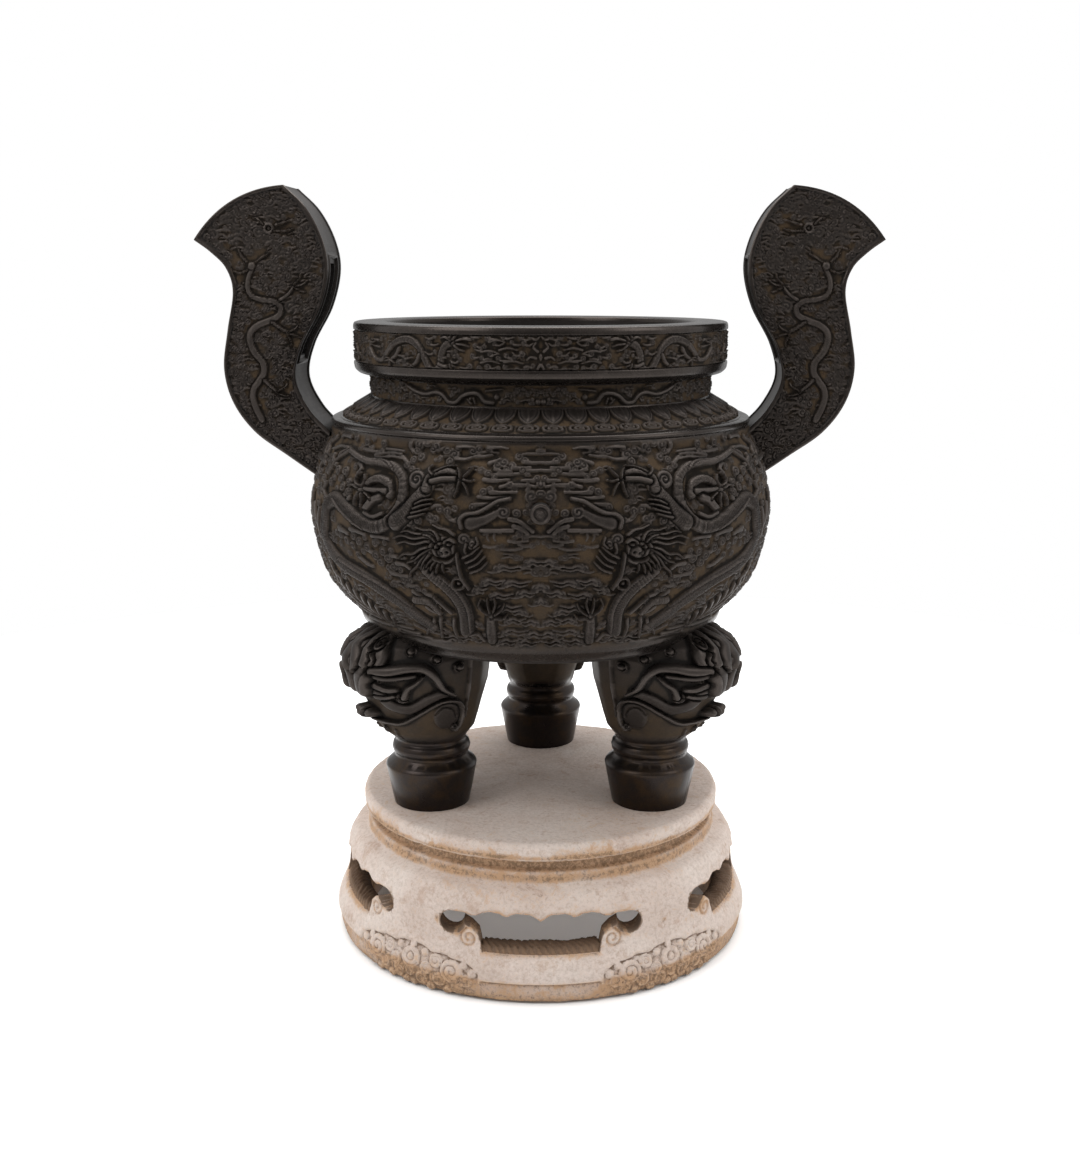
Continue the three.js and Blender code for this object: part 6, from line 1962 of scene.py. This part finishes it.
def make_plinth():
    step = 2.6
    rows = np.unique(np.round(np.concatenate([np.arange(0, PLP.len, step), [0, PLP.len]]), 2))
    nphi = int(2 * math.pi * 480 / step)
    phis = np.linspace(0, 2 * math.pi, nphi, endpoint=False)
    r, z, nr, nz = PLP.at(rows)
    PH, V = np.meshgrid(phis, rows)
    R, Z = np.broadcast_to(r[:, None], PH.shape), np.broadcast_to(z[:, None], PH.shape)
    F = plinth_fold(PH) * PR
    H = plin.sample(plin.h, F, V)
    rough = value_noise((len(rows), nphi), 30, 77, 4)
    chips = np.clip(value_noise((len(rows), nphi), 9, 79, 3) - 0.25, 0, 1) * (np.exp(-((Z - 304) / 4) ** 2) * 7 + np.exp(-((Z - 251) / 5) ** 2) * 4 + np.exp(-((Z - 279) / 4) ** 2) * 3)
    H = H + 0.8 * rough - chips
    H = H * smoothstep(0, 14, V - plinth_v(0.5)) * smoothstep(0, 30, PLP.len - V)
    H = np.minimum(H, np.where((Z > 1) & (Z < 342), 503 - R, 0.0))
    rr, zz = R + H * nr[:, None], np.clip(Z + H * nz[:, None], 0.3, 342.9)
    outer = np.stack([rr * np.sin(PH), -rr * np.cos(PH), zz], -1).reshape(-1, 3)
    rel = plin.sample(plin_cav, F, V)
    st = plinth_stain(PH, V, R, Z)
    # inside wall and ceiling, then close top and bottom
    inn = [(424, 0.5), (424, 60), (424, 120), (424, 170), (424, 196), (410, 218), (394, 240), (300, 240), (150, 240), (4, 240)]
    nr_o, nc = PH.shape
    IR = np.array([p[0] for p in inn], float)[:, None]; IZ = np.array([p[1] for p in inn], float)[:, None]
    ph = phis[None]
    wob = value_noise((len(inn), nc), 20, 78, 3) * 1.2 * (IR < 423.9)
    inner = np.stack([IR * np.sin(ph), -IR * np.cos(ph), IZ + 0 * ph], -1).reshape(-1, 3)
    # order: inner centre ... inner bottom, outer bottom ... outer top, top centre
    inner_rows = inner.reshape(len(inn), nc, 3)[::-1]
    top_r = [250, 120, 4]
    top = np.stack([np.stack([tr * np.sin(phis), -tr * np.cos(phis), np.full(nc, 342.6)], -1) for tr in top_r])
    O3 = outer.reshape(nr_o, nc, 3)
    O3[0, :, 0] = 424.0 * np.sin(phis) * (1.0 if r[0] < 424 else 1.0); 
    keep = r >= 424.01
    first = np.argmax(keep)
    O3 = O3[first:]
    rel = rel[first:]; st = st[first:]
    G = np.concatenate([inner_rows, O3, top])
    RL = np.concatenate([np.full((len(inn), nc), 0.42), rel, np.full((3, nc), 0.5)])
    ST = np.concatenate([np.full((len(inn), nc), 0.35), st, np.full((3, nc), 0.0)])
    tris = grid_tris(len(G), nc, wrap_c=True)
    co = G.reshape(-1, 3)
    co = np.vstack([co, [[0, 0, 240], [0, 0, 342.6]]])
    i = np.arange(nc); base = (len(G) - 1) * nc
    tris = np.vstack([tris, np.stack([(i + 1) % nc, i, np.full(nc, len(co) - 2)], 1), np.stack([base + i, base + (i + 1) % nc, np.full(nc, len(co) - 1)], 1)])
    f = co[tris]
    if np.einsum("ij,ij->i", f[:, 0], np.cross(f[:, 1], f[:, 2])).sum() < 0:
        tris = tris[:, ::-1]
    RLv = np.append(RL.ravel(), [0.4, 0.5]); STv = np.append(ST.ravel(), [0.35, 0.0])
    me = make_mesh("plinth", co * MM, tris, {"relief": RLv, "stain_and_shade": STv})
    ob = add_object("plinth", me)
    half = np.array(OPEN_HALF, float)
    poly = np.vstack([half, half[::-1][1:-1] * [-1, 1]])
    for k in range(5):
        a = k * SECT
        n = len(poly)
        pts = []
        for y in (-330.0, -590.0):
            x, zz = poly[:, 0], poly[:, 1]
            X = x * math.cos(a) - y * math.sin(a); Y = x * math.sin(a) + y * math.cos(a)
            pts.append(np.stack([X, Y, zz], 1))
        co2 = np.vstack(pts)
        i = np.arange(n)
        side = np.vstack([np.stack([i, (i + 1) % n, n + (i + 1) % n], 1), np.stack([i, n + (i + 1) % n, n + i], 1)])
        import mathutils.geometry as mg
        cap = np.array(mg.tessellate_polygon([[Vector((p[0], p[1], 0)) for p in poly]]))
        t2 = np.vstack([side, cap, cap[:, ::-1] + n])
        bm_me = make_mesh("cut", co2 * MM, t2, {"relief": np.full(len(co2), 0.35), "stain_and_shade": np.full(len(co2), 0.85)})
        import bmesh
        bm = bmesh.new(); bm.from_mesh(bm_me); bmesh.ops.recalc_face_normals(bm, faces=bm.faces); bm.to_mesh(bm_me); bm.free()
        cut = add_object("cut", bm_me)
        m = ob.modifiers.new("b", "BOOLEAN"); m.operation = "DIFFERENCE"; m.object = cut; m.solver = SOLVER
        baked(ob, "plinth")
        bpy.data.objects.remove(cut)
    n = len(ob.data.polygons)
    if n > 106000:
        decimate(ob, 106000 / n)
    print("plinth faces", n, "->", len(ob.data.polygons))
    # the walls of the openings get tan staining and, further in, painted shade that darkens towards the hollow; the
    # inside wall behind the openings is painted as deep shade
    co, tr, at = get_arrays(ob.data)
    co = co.astype(float) / MM
    rad = np.hypot(co[:, 0], co[:, 1])
    deep = np.interp(co[:, 2], [p[1] for p in PL_OUT[:60] if p[0] > 424], [p[0] for p in PL_OUT[:60] if p[0] > 424]) - rad
    inside = (co[:, 2] > 100) & (co[:, 2] < 206) & (rad > 380)
    s = np.where(inside, np.maximum(at["stain_and_shade"], 0.55 + 1.05 * smoothstep(3, 20, deep)), at["stain_and_shade"])
    s = np.where(inside & (deep < 3), at["stain_and_shade"], s)
    # painted shade: the inside wall between the sills and the arches is set to the deep brown value
    s = np.where((rad < 425) & (co[:, 2] < 206) & (co[:, 2] > 100), 1.25, s)
    ob.data.attributes["stain_and_shade"].data.foreach_set("value", s.astype(np.float32))
    flat = np.zeros(len(ob.data.vertices) * 3, np.float32)
    ob.data.vertices.foreach_get("co", flat)
    flat[2::3] = np.maximum(flat[2::3], 0.0)
    ob.data.vertices.foreach_set("co", flat)
    ob.data.update()
    rl = np.where(inside & (deep > 3), 0.5, at["relief"])
    ob.data.attributes["relief"].data.foreach_set("value", rl.astype(np.float32))
    ob.data.set_sharp_from_angle(angle=math.radians(50))
    finish_piece(ob, M_MARBLE, "marble_plinth")


def make_ledges():
    """Rough tooled ledge on the sill of every opening: slanting rope-like cuts."""
    co, tris, st, rl = [], [], [], []
    na, nr = ((96, 14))
    for k in range(5):
        a = np.linspace(-math.radians(16.7), math.radians(16.7), na); r = np.linspace(425.5, 477.5, nr)
        A, R = np.meshgrid(a, r)
        g = value_noise(A.shape, 14, 90 + k, 3)
        t_ = (A * 450 - 0.9 * (R - 452)) / 15.0 + 0.35 * g
        h = 10.0 * np.abs(np.sin(math.pi * t_)) ** 0.7 + 2.4 * g
        edge = smoothstep(0, 5, R - 425.5) * smoothstep(0, 9, 477.5 - R) * smoothstep(0, 3, (math.radians(16.7) - np.abs(A)) * 450)
        lift = 9.0 * np.sin(np.clip((R - 425.5) / 52, 0, 1) * math.pi) ** 0.8 * (1.0 + 0.35 * g)
        Z = 104.5 + (3.2 + np.maximum(h, 0) + lift) * edge
        T = A + k * SECT
        top = np.stack([R * np.sin(T), -R * np.cos(T), Z], -1).reshape(-1, 3)
        bot = np.stack([R * np.sin(T), -R * np.cos(T), np.full_like(Z, 103.5)], -1).reshape(-1, 3)
        base = sum(len(c) for c in co)
        g1 = grid_tris(nr, na)
        m = len(top)
        ring_ = np.concatenate([np.arange(na), np.arange(1, nr) * na + na - 1, (nr - 1) * na + np.arange(na - 2, -1, -1), np.arange(nr - 2, 0, -1) * na])
        nx = np.roll(ring_, -1)
        tr = np.vstack([g1, g1[:, ::-1] + m, np.stack([ring_, ring_ + m, nx + m], 1), np.stack([ring_, nx + m, nx], 1)])
        c = np.vstack([top, bot])
        f = c[tr] - c.mean(0)
        if np.einsum("ij,ij->i", f[:, 0], np.cross(f[:, 1], f[:, 2])).sum() < 0:
            tr = tr[:, ::-1]
        co.append(c); tris.append(tr + base)
        # brown tooled stone plus painted shade: darker in the troughs of the cuts and towards the hollow, a little
        # lighter at the outer edge
        s = 1.30 + 0.36 * smoothstep(7, 0, h) + 0.26 * smoothstep(34, 4, R - 425.5) - 0.16 * smoothstep(10, 0, 477.5 - R)
        st.append(np.concatenate([s.ravel(), np.full(m, 1.1)])); rl.append(np.concatenate([np.clip(0.14 + h / 24, 0, 0.44).ravel(), np.full(m, 0.4)]))
    me = make_mesh("plinth_ledges", np.vstack(co) * MM, np.vstack(tris), {"relief": np.concatenate(rl), "stain_and_shade": np.concatenate(st)})
    finish_piece(add_object("plinth_ledges", me), M_MARBLE, "marble_plinth")


# ------------------------------------------------------------------ build
import time
T0 = time.time()


def timed(label, fn, *a):
    t = time.time()
    fn(*a)
    print("%-12s %.1fs" % (label, time.time() - t))


timed("bowl", make_bowl)
timed("collar", make_collar)
timed("shells", make_shells)
for nm, ang, sh in (("leg_left", 210, 1.0), ("leg_right", 330, 1.0), ("leg_back", 90, 0.62)):
    timed(nm, make_leg, nm, ang, sh)
timed("ear_right", make_ear, "ear_right", 1)
timed("ear_left", make_ear, "ear_left", -1)
for nm, sd in (("boss_front", 1), ("boss_back", -1)):
    timed(nm, make_boss, nm, sd)
timed("plinth", make_plinth)
timed("ledges", make_ledges)
print("faces in all", sum(len(o.data.polygons) for o in bpy.data.objects if o.type == "MESH" and not o.hide_render), "time", round(time.time() - T0, 1))

# ------------------------------------------------------------------ floor, light, camera
fl = bpy.data.meshes.new("floor")
ring = [(3.6 * math.cos(k * math.pi / 48), 3.6 * math.sin(k * math.pi / 48), -0.0005) for k in range(96)]
fl.from_pydata(ring, [], [tuple(range(96))])
floor = add_object("floor", fl)
fm = bpy.data.materials.new("floor_white"); nt, N, L = nodes_of(fm)
fo = N.new("ShaderNodeOutputMaterial"); fb = N.new("ShaderNodeBsdfPrincipled"); L.new(fb.outputs[0], fo.inputs[0])
fb.inputs["Base Color"].default_value = (0.93, 0.93, 0.93, 1); fb.inputs["Roughness"].default_value = 0.75
fl.materials.append(fm)

world = bpy.data.worlds.new("w"); bpy.context.scene.world = world
world.use_nodes = True
wn, wl = world.node_tree.nodes, world.node_tree.links
wn.clear()
wo = wn.new("ShaderNodeOutputWorld"); wb = wn.new("ShaderNodeBackground")
wc = wn.new("ShaderNodeTexCoord"); wsep = wn.new("ShaderNodeSeparateXYZ")
wl.new(wc.outputs["Generated"], wsep.inputs[0])


def wmath(op, a, b_=None, c=None):
    m = wn.new("ShaderNodeMath"); m.operation = op
    for sock, v in zip(m.inputs, (a, b_, c)):
        if v is None:
            continue
        if isinstance(v, bpy.types.NodeSocket):
            wl.new(v, sock)
        else:
            sock.default_value = v
    return m.outputs[0]


# a white room: bright walls at both sides and behind, a dimmer one in front, a bright ceiling
side = wmath("POWER", wmath("ABSOLUTE", wsep.outputs[0]), 1.6)
front = wmath("MULTIPLY", wmath("MAXIMUM", wmath("MULTIPLY", wsep.outputs[1], -1.0), 0.0), -0.25)
sky = wmath("MULTIPLY", wmath("MAXIMUM", wsep.outputs[2], 0.0), 0.70)
room = wmath("MAXIMUM", wmath("ADD", wmath("ADD", wmath("MULTIPLY_ADD", side, 0.75, 0.34), front), sky), 0.08)
lp = wn.new("ShaderNodeLightPath")
seen = wn.new("ShaderNodeMix"); seen.data_type = "FLOAT"
wl.new(lp.outputs["Is Camera Ray"], seen.inputs[0]); wl.new(room, seen.inputs[2]); seen.inputs[3].default_value = 1.0
wb.inputs[0].default_value = (1, 1, 1, 1)
wl.new(seen.outputs[0], wb.inputs[1])
wl.new(wb.outputs[0], wo.inputs[0])
bpy.context.scene.view_settings.view_transform = "Standard"


def area(name, loc, target, size, power, color=(1, 1, 1)):
    d = bpy.data.lights.new(name, "AREA"); d.shape = "RECTANGLE"; d.size, d.size_y = size; d.energy = power; d.color = color
    o = bpy.data.objects.new(name, d); bpy.context.scene.collection.objects.link(o)
    o.location = loc
    o.rotation_euler = (Vector(target) - Vector(loc)).to_track_quat("-Z", "Y").to_euler()
    return o


area("key", (-2.8, -2.2, 3.6), (0, 0, 1.0), (2.2, 2.2), 66)
area("fill", (3.2, -1.8, 3.0), (0, 0, 0.9), (2.0, 2.0), 38)
area("top", (0, 0.8, 4.6), (0, 0.4, 0.0), (4.5, 3.5), 260)

hollow = area("under_plinth", (0, 0, 0.232), (0, 0, 0), (0.62, 0.62), 0.27)
hollow.visible_camera = False

cam_d = bpy.data.cameras.new("cam"); cam = bpy.data.objects.new("cam", cam_d)
bpy.context.scene.collection.objects.link(cam)
cam.location = (-0.0015, -3.2779, 1.5475)
cam.rotation_euler = (math.radians(77.78), 0, 0)
cam_d.lens = 43.41; cam_d.sensor_width = 36.0; cam_d.sensor_fit = "AUTO"
cam_d.clip_end = 100
bpy.context.scene.camera = cam

bpy.context.view_layer.update()
